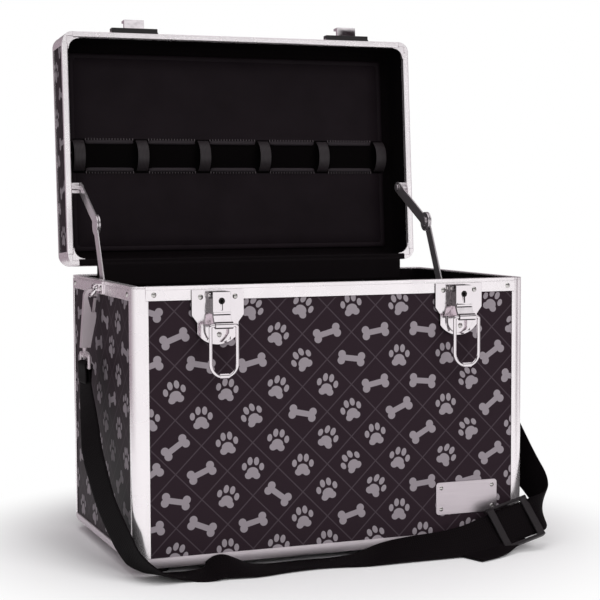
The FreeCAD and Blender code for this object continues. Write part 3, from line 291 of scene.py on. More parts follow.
def eased(material, slot, width, *names):
    """Copies of CAD nodes with merged points and joined flat faces, whose sharp edges get a small bevel."""
    made = []
    for name in names:
        mesh = shell[name].data.copy()
        mesh.name = name + "_eased"
        work = bmesh.new()
        work.from_mesh(mesh)
        bmesh.ops.remove_doubles(work, verts=work.verts, dist=MERGE)
        bmesh.ops.dissolve_limit(work, angle_limit=LEVEL, verts=work.verts, edges=work.edges)
        work.to_mesh(mesh)
        work.free()
        mesh.materials.clear()
        mesh.polygons.foreach_set("use_smooth", np.ones(len(mesh.polygons), bool))
        mesh.set_sharp_from_angle(angle=SHARP)
        piece = place(name + "_eased", mesh, material)
        bevel = piece.modifiers.new("broken_edge", "BEVEL")
        bevel.width, bevel.segments, bevel.limit_method, bevel.angle_limit = width, 2, "ANGLE", SHARP
        bevel.harden_normals = True
        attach(piece, shell[name]["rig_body"])
        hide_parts(name)
        made.append(piece)
    return made


# Satin anodised aluminium: a bright metal whose etched skin spreads its highlights a little, evenly, with
# slow cloudy changes every few centimetres where the bath worked unevenly.
anodised, tree, shader = coat("satin_anodised_aluminium", Metallic=0.85, Base_Color=tint("#f6f0f3"))
spot = add(tree, "TexCoord").outputs["Object"]
cloud = add(tree, "TexNoise", {"Vector": spot, "Scale": 1 / 0.03, "Detail": 2.0}).outputs[0]
rough = add(tree, "MapRange", {
    "Value": cloud, "From Min": 0.3, "From Max": 0.7, "To Min": 0.22, "To Max": 0.31,
}).outputs[0]
tree.links.new(rough, shader.inputs["Roughness"])

eased(anodised, "aluminium", 0.0005, "corner_posts", "rim_bands",
      "rim_corner_caps", "lid_corner_posts", "lid_top_corners", "lid_gussets")
dressed(anodised, "lid_top_rails")

# Bottom edge: the same extruded rails round the underside, joined by cast corner fittings.
# Their aluminium is greyer and less shiny than the rest, a soft, even grey: painted shade of the underside.
shaded_aluminium, tree, shader = coat("aluminium_with_painted_shade", Metallic=0.45, Base_Color=tint("#dcd2d8"))
spot = add(tree, "TexCoord").outputs["Object"]
rough_patches = add(tree, "TexNoise", {"Vector": spot, "Scale": 1 / 0.005, "Detail": 4.0}).outputs[0]
rough = add(tree, "MapRange", {"Value": rough_patches, "To Min": 0.4, "To Max": 0.62}).outputs[0]
tree.links.new(rough, shader.inputs["Roughness"])
dressed(shaded_aluminium, "bottom_rails")
eased(shaded_aluminium, "aluminium", 0.0005, "bottom_corners")

# Lid rim: four rails folded from the same aluminium and riveted round the lid's open edge. The rear one,
# at the hinge, is covered with a glued strip of woven black cotton that looks flat and dull.
TAPE_TOP, TAPE_HALF = 0.2565, 0.1712
tape, tree, shader = coat("black_cloth_tape", Roughness=0.95, Specular_IOR_Level=0.08)
spot = add(tree, "TexCoord").outputs["Object"]
nap = add(tree, "TexNoise", {"Vector": spot, "Scale": 1 / 0.0008, "Detail": 2.0}).outputs[0]
tone = add(tree, "MixRGB", {"Fac": nap, "Color1": tint("#090708"), "Color2": tint("#161214")}).outputs[0]
tree.links.new(tone, shader.inputs["Base Color"])
rim, = eased(anodised, "aluminium", 0.0003, "lid_rim_rails")
rim.data.materials.append(tape)
middle = np.zeros(len(rim.data.polygons) * 3, np.float32)
rim.data.polygons.foreach_get("center", middle)
middle = middle.reshape(-1, 3)
taped = (middle[:, 2] < TAPE_TOP) & (np.abs(middle[:, 0]) < TAPE_HALF)
rim.data.polygons.foreach_set("material_index", taped.astype(np.int32))

# Rivets: nickel-plated steel domes, set through the bands, the hinge leaves, the latches and the strap
# anchors into the boards. Nickel is a warm grey mirror, dulled here and there by handling.
nickel, tree, shader = coat("nickel_plated_steel", Metallic=1.0, Base_Color=tint("#c9c6c4"))
spot = add(tree, "TexCoord").outputs["Object"]
wear = add(tree, "TexNoise", {"Vector": spot, "Scale": 1 / 0.003, "Detail": 3.0}).outputs[0]
rough = add(tree, "MapRange", {"Value": wear, "To Min": 0.12, "To Max": 0.32}).outputs[0]
tree.links.new(rough, shader.inputs["Roughness"])
dressed(nickel, "case_rivets", "lid_rivets", "name_plate_rivets", "foot_screws", "pivot_pins")

# Name plate: a small sheet of aluminium, brushed lengthways and held on the front board by four dome rivets.
# The brush lines, a millimetre or less apart, stretch its highlights across them.
brushed, tree, shader = coat("brushed_aluminium_sheet", Metallic=1.0, Base_Color=tint("#d6ccd2"))
spot = add(tree, "TexCoord").outputs["Object"]
lines = add(tree, "Mapping", {"Vector": spot, "Scale": (1 / 0.03, 1 / 0.03, 1 / 0.0005)}).outputs[0]
brush = add(tree, "TexNoise", {"Vector": lines, "Scale": 1.0, "Detail": 3.0}).outputs[0]
rough = add(tree, "MapRange", {
    "Value": brush, "From Min": 0.3, "From Max": 0.7, "To Min": 0.34, "To Max": 0.5,
}).outputs[0]
tree.links.new(rough, shader.inputs["Roughness"])
bump = add(tree, "Bump", {"Height": brush, "Strength": 0.06, "Distance": 0.0001}).outputs[0]
tree.links.new(bump, shader.inputs["Normal"])
eased(brushed, "aluminium", 0.0002, "name_plate")

# Feet: moulded rubber buttons under the bottom rails, each held by a screw in its middle.
# Black rubber is matt and greys with dust.
rubber, tree, shader = coat("black_rubber", Roughness=0.85, Specular_IOR_Level=0.2)
spot = add(tree, "TexCoord").outputs["Object"]
dust = add(tree, "TexNoise", {"Vector": spot, "Scale": 1 / 0.004, "Detail": 4.0}).outputs[0]
tone = add(tree, "MixRGB", {"Fac": dust, "Color1": tint("#0c0b0b"), "Color2": tint("#1f1c1d")}).outputs[0]
tree.links.new(tone, shader.inputs["Base Color"])
eased(rubber, "rubber", 0.0006, "rubber_feet")

# Body lining: a black flocked sheet glued inside the boards, folded round the corners and across the floor.
# The short nap swallows light, so it shows almost no form.
CORNER, CREASE = 9, 0.9
OUTLINE = 4 * CORNER


def outline(half_x, half_y, radius):
    """Rectangle with round corners: points of a quarter circle at each corner, in order."""
    turn = np.linspace(0, np.pi / 2, CORNER)[None, :] + np.arange(4)[:, None] * np.pi / 2
    side_x, side_y = np.array([1, -1, -1, 1])[:, None], np.array([1, 1, -1, -1])[:, None]
    x = side_x * (half_x - radius) + radius * np.cos(turn)
    y = side_y * (half_y - radius) + radius * np.sin(turn)
    return np.stack([x.ravel(), y.ravel()], -1)


def stacked(levels):
    """Closed skin through round-cornered outlines, each given by half width, half depth, corner radius and
    height, in millimetres."""
    rings = [np.c_[outline(x, y, r), np.full(OUTLINE, z)] for x, y, r, z in levels]
    last = (len(rings) - 1) * OUTLINE
    ends = [list(range(OUTLINE))[::-1], list(range(last, last + OUTLINE))]
    return np.stack(rings) / 1000, grid_quads(len(rings), OUTLINE, True) + ends


flock, tree, shader = coat("black_flocked_lining", Roughness=0.95, Specular_IOR_Level=0.05)
spot = add(tree, "TexCoord").outputs["Object"]
nap = add(tree, "TexNoise", {"Vector": spot, "Scale": 1 / 0.0012, "Detail": 3.0}).outputs[0]
tone = add(tree, "MixRGB", {"Fac": nap, "Color1": tint("#060405"), "Color2": tint("#130f11")}).outputs[0]
tree.links.new(tone, shader.inputs["Base Color"])
bump = add(tree, "Bump", {"Height": nap, "Strength": 0.25, "Distance": 0.0003}).outputs[0]
tree.links.new(bump, shader.inputs["Normal"])
points, faces = stacked([
    (1, 1, 0.5, 12.3), (173, 103, 3, 12.3), (176.2, 106.2, 5, 15.3), (176.2, 106.2, 5, 241.5),
    (175.4, 105.4, 4.2, 241.5), (175.4, 105.4, 4.2, 160), (175.4, 105.4, 4.2, 80), (175.4, 105.4, 4.2, 17.4),
    (174.2, 104.2, 4.2, 14.5), (171.4, 101.4, 4.2, 13.3), (90, 50, 4.2, 13.2), (1, 1, 0.5, 13.2),
])
lining = place("body_lining_flock", mesh_of("body_lining_flock", points, faces), flock)
lining.data.set_sharp_from_angle(angle=CREASE)
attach(lining, "case")
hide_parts("body_lining")

# Hinges: stamped steel leaves with rolled knuckles, chromed and riveted to both rear walls, and a strip of
# black cloth glued inside the rim that hides the gap. Chrome is a cool mirror, slightly wavy where pressed.
plated, tree, shader = coat("bright_chrome_plate", Metallic=1.0, Base_Color=tint("#ece5e9"))
spot = add(tree, "TexCoord").outputs["Object"]
ripple = add(tree, "TexNoise", {"Vector": spot, "Scale": 1 / 0.007, "Detail": 1.0}).outputs[0]
rough = add(tree, "MapRange", {
    "Value": ripple, "From Min": 0.3, "From Max": 0.7, "To Min": 0.07, "To Max": 0.16,
}).outputs[0]
tree.links.new(rough, shader.inputs["Roughness"])
bump = add(tree, "Bump", {"Height": ripple, "Strength": 0.1, "Distance": 0.001}).outputs[0]
tree.links.new(bump, shader.inputs["Normal"])
eased(plated, "chrome", 0.0002, "hinge_body_leaves", "hinge_lid_leaves")

FLAP_X, FLAP_Y, FLAP_LOW, FLAP_HIGH, COLS, ROWS = 0.1585, 0.1049, 0.2310, 0.2540, 90, 9
RIPPLE, RIPPLES, CLOTH_T = 0.00018, 210, 0.0006
along, height = np.meshgrid(np.linspace(-FLAP_X, FLAP_X, COLS), np.linspace(FLAP_LOW, FLAP_HIGH, ROWS),
                            indexing="ij")
loose = (height - FLAP_LOW) / (FLAP_HIGH - FLAP_LOW)
hung = np.stack([along, FLAP_Y + RIPPLE * np.sin(along * RIPPLES) * loose, height], -1)
flap = place("hinge_flap_cloth", mesh_of("hinge_flap_cloth", hung, grid_quads(COLS, ROWS)), tape)
thick = flap.modifiers.new("cloth", "SOLIDIFY")
thick.thickness, thick.offset = CLOTH_T, 0.0
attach(flap, "case")
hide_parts("hinge_flap")

# Draw latches: pressed steel plates, box levers with a small lock and wire bails, with a catch on the lid for
# each. Faces are bright chrome; the cut edges and sides are a mottled dark chrome, painted shade and painted
# dark reflection.
FACE_ON = 0.8
chrome_painted_shade, tree, shader = coat("chrome_with_painted_shade", Metallic=1.0)
spot = add(tree, "TexCoord").outputs["Object"]
thin = add(tree, "TexNoise", {"Vector": spot, "Scale": 1 / 0.004, "Detail": 2.0}).outputs[0]
tone = add(tree, "MixRGB", {"Fac": thin, "Color1": tint("#1f1b1d"), "Color2": tint("#6b6467")}).outputs[0]
tree.links.new(tone, shader.inputs["Base Color"])
rough = add(tree, "MapRange", {"Value": thin, "To Min": 0.15, "To Max": 0.35}).outputs[0]
tree.links.new(rough, shader.inputs["Roughness"])
for pressed in eased(plated, "chrome", 0.00035, "latch_left_plate", "latch_right_plate", "latch_left_lever",
                     "latch_right_lever"):
    pressed.data.materials.append(chrome_painted_shade)
    facing = np.zeros(len(pressed.data.polygons) * 3, np.float32)
    pressed.data.polygons.foreach_get("normal", facing)
    # Faces not turned to the front take the painted shade and painted dark reflection.
    shaded_sides = np.abs(facing.reshape(-1, 3)[:, 1]) < FACE_ON
    pressed.data.polygons.foreach_set("material_index", shaded_sides.astype(np.int32))
eased(plated, "chrome", 0.0002, "latch_left_bail", "latch_right_bail")
# The lock's plug is painted a mottled near black, painted shade so that its keyhole reads dark.
plug_painted_shade, tree, shader = coat("lock_plug_painted_shade", Metallic=0.6, Roughness=0.45)
spot = add(tree, "TexCoord").outputs["Object"]
plug_mottle = add(tree, "TexNoise", {"Vector": spot, "Scale": 1 / 0.0015, "Detail": 2.0}).outputs[0]
tone = add(tree, "MixRGB", {"Fac": plug_mottle, "Color1": tint("#0d0c0c"), "Color2": tint("#2a2626")}).outputs[0]
tree.links.new(tone, shader.inputs["Base Color"])
dressed(plug_painted_shade, "latch_left_plug", "latch_right_plug")

# Each catch is a chromed hook on a base painted a glossy, slightly uneven near black: painted shade and
# painted dark reflection under the hook.
catch_base_shade, tree, shader = coat("catch_base_painted_shade", Specular_IOR_Level=0.4)
spot = add(tree, "TexCoord").outputs["Object"]
base_mottle = add(tree, "TexNoise", {"Vector": spot, "Scale": 1 / 0.005, "Detail": 2.0}).outputs[0]
rough = add(tree, "MapRange", {"Value": base_mottle, "To Min": 0.2, "To Max": 0.45}).outputs[0]
tree.links.new(rough, shader.inputs["Roughness"])
tone = add(tree, "MixRGB", {"Fac": base_mottle, "Color1": tint("#0b090a"), "Color2": tint("#1d191b")}).outputs[0]
tree.links.new(tone, shader.inputs["Base Color"])
BASE_LOW, BASE_HIGH = 0.4764, 0.4803
catches, = eased(plated, "chrome", 0.0003, "lid_catches")
catches.data.materials.append(catch_base_shade)
middle = np.zeros(len(catches.data.polygons) * 3, np.float32)
catches.data.polygons.foreach_get("center", middle)
height = middle.reshape(-1, 3)[:, 2]
# Faces of the base between these heights: painted shade and painted dark reflection.
shaded_base = (height > BASE_LOW) & (height < BASE_HIGH)
catches.data.polygons.foreach_set("material_index", shaded_base.astype(np.int32))

# Lid stays: two stamped steel links on each side, joined by a broad rivet at the elbow and hung on studs in
# the walls. They are zinc plated, a soft grey shine with the faint streaks of the plating bath.
zinc, tree, shader = coat("zinc_plated_steel", Metallic=0.9, Base_Color=tint("#dad3d7"))
spot = add(tree, "TexCoord").outputs["Object"]
streak = add(tree, "TexNoise", {"Vector": spot, "Scale": 1 / 0.006, "Detail": 4.0}).outputs[0]
rough = add(tree, "MapRange", {"Value": streak, "To Min": 0.22, "To Max": 0.42}).outputs[0]
tree.links.new(rough, shader.inputs["Roughness"])
eased(zinc, "chrome", 0.00025, "stay_left_lower", "stay_left_upper", "stay_right_lower", "stay_right_upper",
      "stay_body_studs", "stay_lid_studs")

# Strap fittings: riveted anchor plates, wire rings and snap hooks with sprung gates. Plates and rings are
# chromed steel; the hooks are zinc castings, satin, with the fine pitted skin of the mould.
cast, tree, shader = coat("satin_zinc_casting", Metallic=0.6, Base_Color=tint("#d5c9cf"))
spot = add(tree, "TexCoord").outputs["Object"]
pits = add(tree, "TexNoise", {"Vector": spot, "Scale": 1 / 0.0012, "Detail": 3.0}).outputs[0]
rough = add(tree, "MapRange", {"Value": pits, "From Min": 0.3, "To Min": 0.38, "To Max": 0.56}).outputs[0]
tree.links.new(rough, shader.inputs["Roughness"])
bump = add(tree, "Bump", {"Height": pits, "Strength": 0.12, "Distance": 0.0002}).outputs[0]
tree.links.new(bump, shader.inputs["Normal"])
eased(plated, "chrome", 0.0003, "strap_anchor_plates")
eased(plated, "chrome", 0.0002, "strap_rings")
eased(cast, "chrome", 0.0003, "left_snap_hook", "right_snap_hook")
eased(cast, "chrome", 0.0002, "left_hook_gate", "right_hook_gate")

# Shoulder strap: 32 mm black polypropylene webbing between the two hooks, lying slack along the front of
# the case. It is woven flat, folded round each hook's link and sewn to itself, with a loose tail at the
# slider. Each row is a point of its middle line, in millimetres, and the direction of its width there.
HALF_TAPE, TAPE_T, SECTION = 0.016, 0.0009, 28
SQUARE, SOFT = 0.2, 0.6
route = np.array([
    (-196.05, 0.0, 167.6, -0.035, -1.00, 0.0),
    (-196.5, -0.5, 154.0, 0.05, -1.00, 0.05),
    (-197.5, -8.0, 139.0, 0.10, -0.98, 0.15),
    (-199.0, -24.0, 118.0, 0.22, -0.95, 0.20),
    (-200.5, -39.0, 97.0, 0.29, -0.93, 0.20),
    (-198.5, -54.0, 77.0, 0.26, -0.94, 0.18),
    (-196.5, -70.0, 58.0, 0.22, -0.96, 0.15),
    (-193.0, -87.0, 42.0, 0.20, -0.96, 0.14),
    (-189.5, -103.0, 29.5, 0.20, -0.96, 0.16),
    (-184.5, -117.5, 19.0, 0.20, -0.95, 0.20),
    (-175.0, -124.0, 10.5, 0.18, -0.95, 0.26),
    (-163.0, -125.0, 4.6, 0.08, -0.98, 0.15),
    (-149.0, -122.0, 1.8, 0.00, -1.00, 0.02),
    (-136.0, -123.0, 1.6, 0.00, -1.00, 0.00),
    (-124.0, -129.6, 3.4, 0.00, -0.99, -0.12),
    (-112.0, -127.5, 9.2, 0.00, -0.88, -0.48),
    (-99.0, -129.2, 6.6, 0.00, -0.95, -0.32),
    (-84.0, -130.0, 3.1, 0.00, -0.99, -0.10),
    (-60.0, -124.0, 1.6, 0.00, -1.00, 0.00),
    (-30.0, -121.0, 1.6, 0.00, -1.00, 0.00),
    (-4.0, -124.0, 1.6, 0.00, -1.00, 0.00),
    (16.0, -129.8, 3.4, 0.00, -0.99, -0.12),
    (40.0, -130.0, 7.6, 0.00, -0.92, -0.38),
    (68.0, -131.0, 9.3, 0.00, -0.87, -0.49),
    (98.0, -131.5, 10.1, 0.00, -0.84, -0.54),
    (122.0, -133.0, 13.2, 0.06, -0.74, -0.66),
    (141.0, -132.0, 18.2, 0.14, -0.59, -0.79),
    (162.0, -131.0, 23.9, 0.15, -0.55, -0.82),
    (175.0, -130.4, 26.9, 0.15, -0.53, -0.83),
    (186.5, -129.8, 29.4, 0.20, -0.36, -0.90),
    (198.0, -121.0, 39.5, 0.05, 0.55, -0.80),
    (199.5, -106.5, 51.5, -0.25, 0.66, -0.71),
    (196.0, -89.5, 65.5, -0.45, 0.60, -0.66),
    (196.0, -69.5, 82.5, -0.45, 0.60, -0.66),
    (197.0, -48.0, 100.5, -0.40, 0.62, -0.67),
    (197.5, -26.5, 119.0, -0.25, 0.68, -0.69),
    (197.5, -8.5, 138.0, -0.10, 0.83, -0.55),
    (196.6, -0.7, 154.0, -0.04, 0.96, -0.28),
    (196.05, 0.0, 167.6, -0.035, 1.00, 0.0),
])
route[:, :3] /= 1000
route[:, 3:] /= np.linalg.norm(route[:, 3:], axis=1)[:, None]


def flowing(points):
    """Points along the smooth NURBS line of order 3 that has the given points as its control points."""
    curve = bpy.data.curves.new("route_line", "CURVE")
    curve.dimensions, curve.resolution_u = "3D", 12
    spline = curve.splines.new("NURBS")
    spline.points.add(len(points) - 1)
    spline.points.foreach_set("co", np.c_[points, np.ones(len(points))].astype(np.float32).ravel())
    spline.order_u = 3
    spline.use_endpoint_u = True
    holder = bpy.data.objects.new("route_line", curve)
    drawn = bpy.data.meshes.new_from_object(holder)
    line = np.zeros(len(drawn.vertices) * 3, np.float32)
    drawn.vertices.foreach_get("co", line)
    bpy.data.objects.remove(holder)
    bpy.data.curves.remove(curve)
    bpy.data.meshes.remove(drawn)
    return line.reshape(-1, 3).astype(float)


def unit(vectors):
    """Vectors scaled to length one, row by row."""
    return vectors / np.linalg.norm(vectors, axis=-1, keepdims=True)


def ribbon(line, across, half_w, half_t):
    """Tape: an oblong section, a superellipse of width and thickness, carried along a line with its width
    across it and its thickness square to both, closed at the ends; its map is metres along and across."""
    along = unit(np.gradient(line, axis=0))
    across = unit(across - along * np.sum(across * along, 1, keepdims=True))
    through = np.cross(across, along)
    turn = np.linspace(0, 2 * np.pi, SECTION + 1)[:-1]
    wide = np.sign(np.cos(turn)) * np.abs(np.cos(turn)) ** SQUARE * half_w
    deep = np.sign(np.sin(turn)) * np.abs(np.sin(turn)) ** SOFT * half_t
    points = line[:, None] + across[:, None] * wide[None, :, None] + through[:, None] * deep[None, :, None]
    run = np.r_[0, np.cumsum(np.linalg.norm(np.diff(line, axis=0), axis=1))]
    uv = np.stack(np.broadcast_arrays(run[:, None], wide[None, :]), -1)
    last = (len(line) - 1) * SECTION
    caps = [list(range(SECTION)), list(range(last, last + SECTION))[::-1]]
    return points, [f[::-1] for f in grid_quads(len(line), SECTION, True)] + caps, uv


# Polypropylene yarn is dull black with a slight gloss. Ribs lie across the tape about 2 mm apart and cords
# run along it about 2.5 mm apart, a little coarser than real; their crests are painted lighter and their
# hollows darker, painted sheen and painted shade over their bump.
webbing, tree, shader = coat("black_polypropylene_webbing", Roughness=0.7, Specular_IOR_Level=0.07)
flat = add(tree, "UVMap").outputs[0]
rib = add(tree, "Mapping", {"Vector": flat, "Scale": (1 / 0.0021, 1 / 0.0026, 1)}).outputs[0]
part = add(tree, "SeparateXYZ", {0: rib})
row = add(tree, "Math", {0: part.outputs[1], 1: 0.5}, operation="MULTIPLY").outputs[0]
row = add(tree, "Math", {0: row}, operation="ROUND").outputs[0]
step = add(tree, "Math", {0: row, 1: 0.5, 2: part.outputs[0]}, operation="MULTIPLY_ADD").outputs[0]
step = add(tree, "Math", {0: step, 1: 2 * np.pi}, operation="MULTIPLY").outputs[0]
wave = add(tree, "Math", {0: step}, operation="SINE").outputs[0]
cord = add(tree, "Math", {0: part.outputs[1], 1: 2 * np.pi}, operation="MULTIPLY").outputs[0]
cord = add(tree, "Math", {0: cord}, operation="COSINE").outputs[0]
relief = add(tree, "Math", {0: cord, 1: 0.4, 2: wave}, operation="MULTIPLY_ADD").outputs[0]
lift = add(tree, "MapRange", {"Value": relief, "From Min": -1.4, "From Max": 1.4}).outputs[0]
# Crests lighter, hollows darker: painted sheen and painted shade.
tone = add(tree, "MixRGB", {"Fac": lift, "Color1": tint("#030202"), "Color2": tint("#120d10")}).outputs[0]
tree.links.new(tone, shader.inputs["Base Color"])
bump = add(tree, "Bump", {"Height": lift, "Strength": 0.5, "Distance": 0.0004}).outputs[0]
tree.links.new(bump, shader.inputs["Normal"])

line = flowing(route[:, :3])
edge = flowing(route[:, :3] + route[:, 3:] * HALF_TAPE)
points, faces, uv = ribbon(line, edge - line, HALF_TAPE, TAPE_T)
strap = place("strap_webbing_tape", mesh_of("strap_webbing_tape", points, faces, uv), webbing)
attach(strap, "case")
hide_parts("strap_webbing")


def joined(lists, count):
    """The face lists of like pieces in one list, where each piece has count points."""
    return [[k + n * count for k in face] for n, faces in enumerate(lists) for face in faces]


def fold(bar, down, across):
    """Tape turned round a link's bar: a smooth line down its face, over the bar and down its back."""
    down, across = unit(down), unit(across)
    drop = np.array([15.0, 6.0, 0.5, -3.3, -3.3, 0.5, 6.0, 15.0])[:, None] / 1000
    off = np.array([1.9, 2.1, 3.0, 3.0, -3.0, -3.0, -2.1, -1.9])[:, None] / 1000
    bent = flowing(bar + down * drop + np.cross(across, down) * off)
    return ribbon(bent, np.tile(across, (len(bent), 1)), HALF_TAPE, TAPE_T)


sewn = [fold(route[0, :3], route[1, :3] - route[0, :3], route[0, 3:]),
        fold(route[-1, :3], route[-2, :3] - route[-1, :3], route[-1, 3:])]
points = np.concatenate([s[0].reshape(-1, 3) for s in sewn])
faces = joined([s[1] for s in sewn], sewn[0][0].size // 3)
uv = np.concatenate([s[2].reshape(-1, 2) for s in sewn])
folds = place("strap_end_folds", mesh_of("strap_end_folds", points, faces, uv), webbing)
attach(folds, "case")

tail_route = np.array([
    (160.0, -130.0, 21.2, 0.15, -0.55, -0.82),
    (148.0, -134.5, 13.2, 0.25, -0.73, -0.60),
    (134.0, -141.0, 5.0, 0.38, -0.88, -0.20),
    (120.0, -147.0, 2.0, 0.41, -0.91, -0.03),
    (107.0, -151.5, 1.5, 0.41, -0.91, 0.0),
])
tail_route[:, :3] /= 1000
tail_line = flowing(tail_route[:, :3])
tail_edge = flowing(tail_route[:, :3] + tail_route[:, 3:] * HALF_TAPE)
points, faces, uv = ribbon(tail_line, tail_edge - tail_line, HALF_TAPE, TAPE_T)
tail = place("strap_loose_tail", mesh_of("strap_loose_tail", points, faces, uv), webbing)
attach(tail, "case")

# Slider: a three-bar buckle moulded in black plastic. The strap lies under its two outer bars and over the
# middle one, which grips it, so that the length can be set. Moulded nylon has a faint grained shine.
# SEAT is its place on the strap, in metres; its other sizes are in millimetres.
plastic, tree, shader = coat("black_moulded_nylon", Roughness=0.5, Specular_IOR_Level=0.3)
spot = add(tree, "TexCoord").outputs["Object"]
skin = add(tree, "TexNoise", {"Vector": spot, "Scale": 1 / 0.0009, "Detail": 2.0}).outputs[0]
tone = add(tree, "MixRGB", {"Fac": skin, "Color1": tint("#141012"), "Color2": tint("#241f22")}).outputs[0]
tree.links.new(tone, shader.inputs["Base Color"])
bump = add(tree, "Bump", {"Height": skin, "Strength": 0.1, "Distance": 0.0002}).outputs[0]
tree.links.new(bump, shader.inputs["Normal"])


def bar(start, end, across, half_w, half_t):
    """Straight bar with a rounded oblong section from start to end, in millimetres."""
    run = np.linspace(0, 1, 12)[:, None]
    line = np.array(start) * (1 - run) + np.array(end) * run
    points, faces, _ = ribbon(line, np.tile(across, (len(run), 1)), half_w, half_t)
    return points.reshape(-1, 3), faces


SEAT, SIDE, END, OVER = (0.162, -0.131, 0.0232), 18.6, 17.5, 2.7
BAR, RAIL, LIP = (3.5, 1.3), (4.0, 1.3), 3.4
at = int(np.argmin(np.linalg.norm(line - np.array(SEAT), axis=1)))
way = unit(line[at + 1] - line[at - 1])
wide = unit(edge[at] - line[at] - way * np.dot(edge[at] - line[at], way))
seat = np.stack([wide, way, np.cross(wide, way)])
bars = [bar((-SIDE, y, z), (SIDE, y, z), (0.0, 1.0, 0.0), *BAR)
        for y, z in ((-END, OVER), (END, OVER), (0, -OVER))]
bars += [bar((x, -END - LIP, 0), (x, END + LIP, 0), (0.0, 0.0, 1.0), *RAIL) for x in (-SIDE, SIDE)]
local = np.concatenate([b[0] for b in bars]) / 1000
faces = joined([b[1] for b in bars], len(bars[0][0]))
buckle = mesh_of("strap_slider_moulded", line[at] + local @ seat, faces)
slider = place("strap_slider_moulded", buckle, plastic)
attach(slider, "case")
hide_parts("strap_slider")

# Lid lining: the same flocked sheet inside the lid, and on it a stiff board, thinly padded and covered with
# charcoal leatherette that is turned in at the edge. Its embossed pebble, just over a millimetre, breaks up
# a dull shine.
HINGE, OPEN = np.array([0, 0.1205, 0.243]), np.radians(-94)


def swung(points):
    """Points of the closed lid turned open about the hinge line."""
    turn = np.array([[1, 0, 0], [0, np.cos(OPEN), -np.sin(OPEN)], [0, np.sin(OPEN), np.cos(OPEN)]])
    return (points - HINGE) @ turn.T + HINGE


points, faces = stacked([
    (1, 1, 0.5, 286.7), (174, 104, 3, 286.7), (177.8, 107.8, 4.5, 283.5), (177.8, 107.8, 4.5, 250.8),
    (177.1, 107.1, 4, 250.8), (177.1, 107.1, 4, 270), (177.1, 107.1, 4, 282), (176, 106, 4, 285),
    (173, 103, 4, 286.1), (90, 50, 4, 286.1), (1, 1, 0.5, 286.1),
])
skin = mesh_of("lid_lining_flock", swung(points), [f[::-1] for f in faces])
lid_lining = place("lid_lining_flock", skin, flock)
lid_lining.data.set_sharp_from_angle(angle=CREASE)
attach(lid_lining, "lid")
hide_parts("lid_lining")

leatherette, tree, shader = coat("charcoal_leatherette", Roughness=0.6, Specular_IOR_Level=0.08)
spot = add(tree, "TexCoord").outputs["Object"]
pebble = add(tree, "TexVoronoi", {"Vector": spot, "Scale": 1 / 0.0014}, feature="SMOOTH_F1")
pebble = pebble.outputs["Distance"]
patch = add(tree, "TexNoise", {"Vector": spot, "Scale": 1 / 0.03, "Detail": 3.0}).outputs[0]
tone = add(tree, "MixRGB", {"Fac": patch, "Color1": tint("#130e11"), "Color2": tint("#1d171b")}).outputs[0]
tree.links.new(tone, shader.inputs["Base Color"])
bump = add(tree, "Bump", {"Height": pebble, "Strength": 0.25, "Distance": 0.0002}).outputs[0]
tree.links.new(bump, shader.inputs["Normal"])
points, faces = stacked([
    (1, 1, 0.5, 286.0), (167, 97, 2.5, 286.0), (168, 98, 3, 285.3), (168, 98, 3, 284.5),
    (167.3, 97.3, 3, 283.8), (165.8, 95.8, 3, 283.5), (163.6, 93.6, 3, 283.5), (163.0, 93.0, 3, 283.9),
    (162.4, 92.4, 3, 283.5), (150, 82, 3, 283.4), (80, 40, 3, 283.3), (1, 1, 0.5, 283.3),
])
skin = mesh_of("lid_inner_board_covered", swung(points), [f[::-1] for f in faces])
board = place("lid_inner_board_covered", skin, leatherette)
board.data.set_sharp_from_angle(angle=CREASE)
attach(board, "lid")
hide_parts("lid_inner_board")

# Tool strip: a black velvet tape sewn across the board, its edges overcast with grey thread, with raised
# rolls of charcoal piping above and below between the loops. Velvet swallows light; the piping's cloth and
# the thread have a faint sheen. The stitches are drawn a little coarser than real.
STRIP_Y, LOOPS = 3.5, np.array([-161.25, -96.75, -32.25, 32.25, 96.75, 161.25])
BETWEEN = (LOOPS[1:] + LOOPS[:-1]) / 2
ROLL_X, ROLL_Y, ROLL_RISE, ROLL_FOOT, ROLL_ROW = 24.5, 2.2, 2.1, 282.6, 13.75
SEAM_X, SEAM_ROW, SEAM_FACE, PITCH, HALF_STITCH, HALF_THREAD = 24, 16.25, 282.55, 3.0, 1.4, 0.55
velvet, tree, shader = coat("black_velvet_tape", Roughness=0.95, Specular_IOR_Level=0.04)
spot = add(tree, "TexCoord").outputs["Object"]
pile = add(tree, "TexNoise", {"Vector": spot, "Scale": 1 / 0.0007, "Detail": 2.0}).outputs[0]
tone = add(tree, "MixRGB", {"Fac": pile, "Color1": tint("#030202"), "Color2": tint("#0b090a")}).outputs[0]
tree.links.new(tone, shader.inputs["Base Color"])
bump = add(tree, "Bump", {"Height": pile, "Strength": 0.3, "Distance": 0.0002}).outputs[0]
tree.links.new(bump, shader.inputs["Normal"])
points, faces = stacked([
    (1, 1, 0.5, 283.45), (165, 16.4, 1, 283.45), (165.8, 16.9, 1, 283.1), (165.5, 16.6, 1, 282.7),
    (164.8, 15.9, 1, 282.5), (1, 1, 0.5, 282.5),
])
points[..., 1] += STRIP_Y / 1000
skin = mesh_of("tool_strip_tape", swung(points), [f[::-1] for f in faces])
strip = place("tool_strip_tape", skin, velvet)
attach(strip, "lid")
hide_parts("tool_strip")


def piping(centre_x, centre_y):
    """Raised roll: half an oval across, fading to nothing at both ends, above the tape's face; its sizes are
    in millimetres."""
    u, v = np.meshgrid(np.linspace(-1, 1, 25), np.linspace(0, np.pi, 11), indexing="ij")
    fade = (1 - u ** 10) ** 0.5
    x = centre_x + ROLL_X * u
    y = STRIP_Y + centre_y + ROLL_Y * np.cos(v) * (0.5 + 0.5 * fade)
    return np.stack([x, y, ROLL_FOOT - ROLL_RISE * np.sin(v) ** 0.8 * fade], -1) / 1000


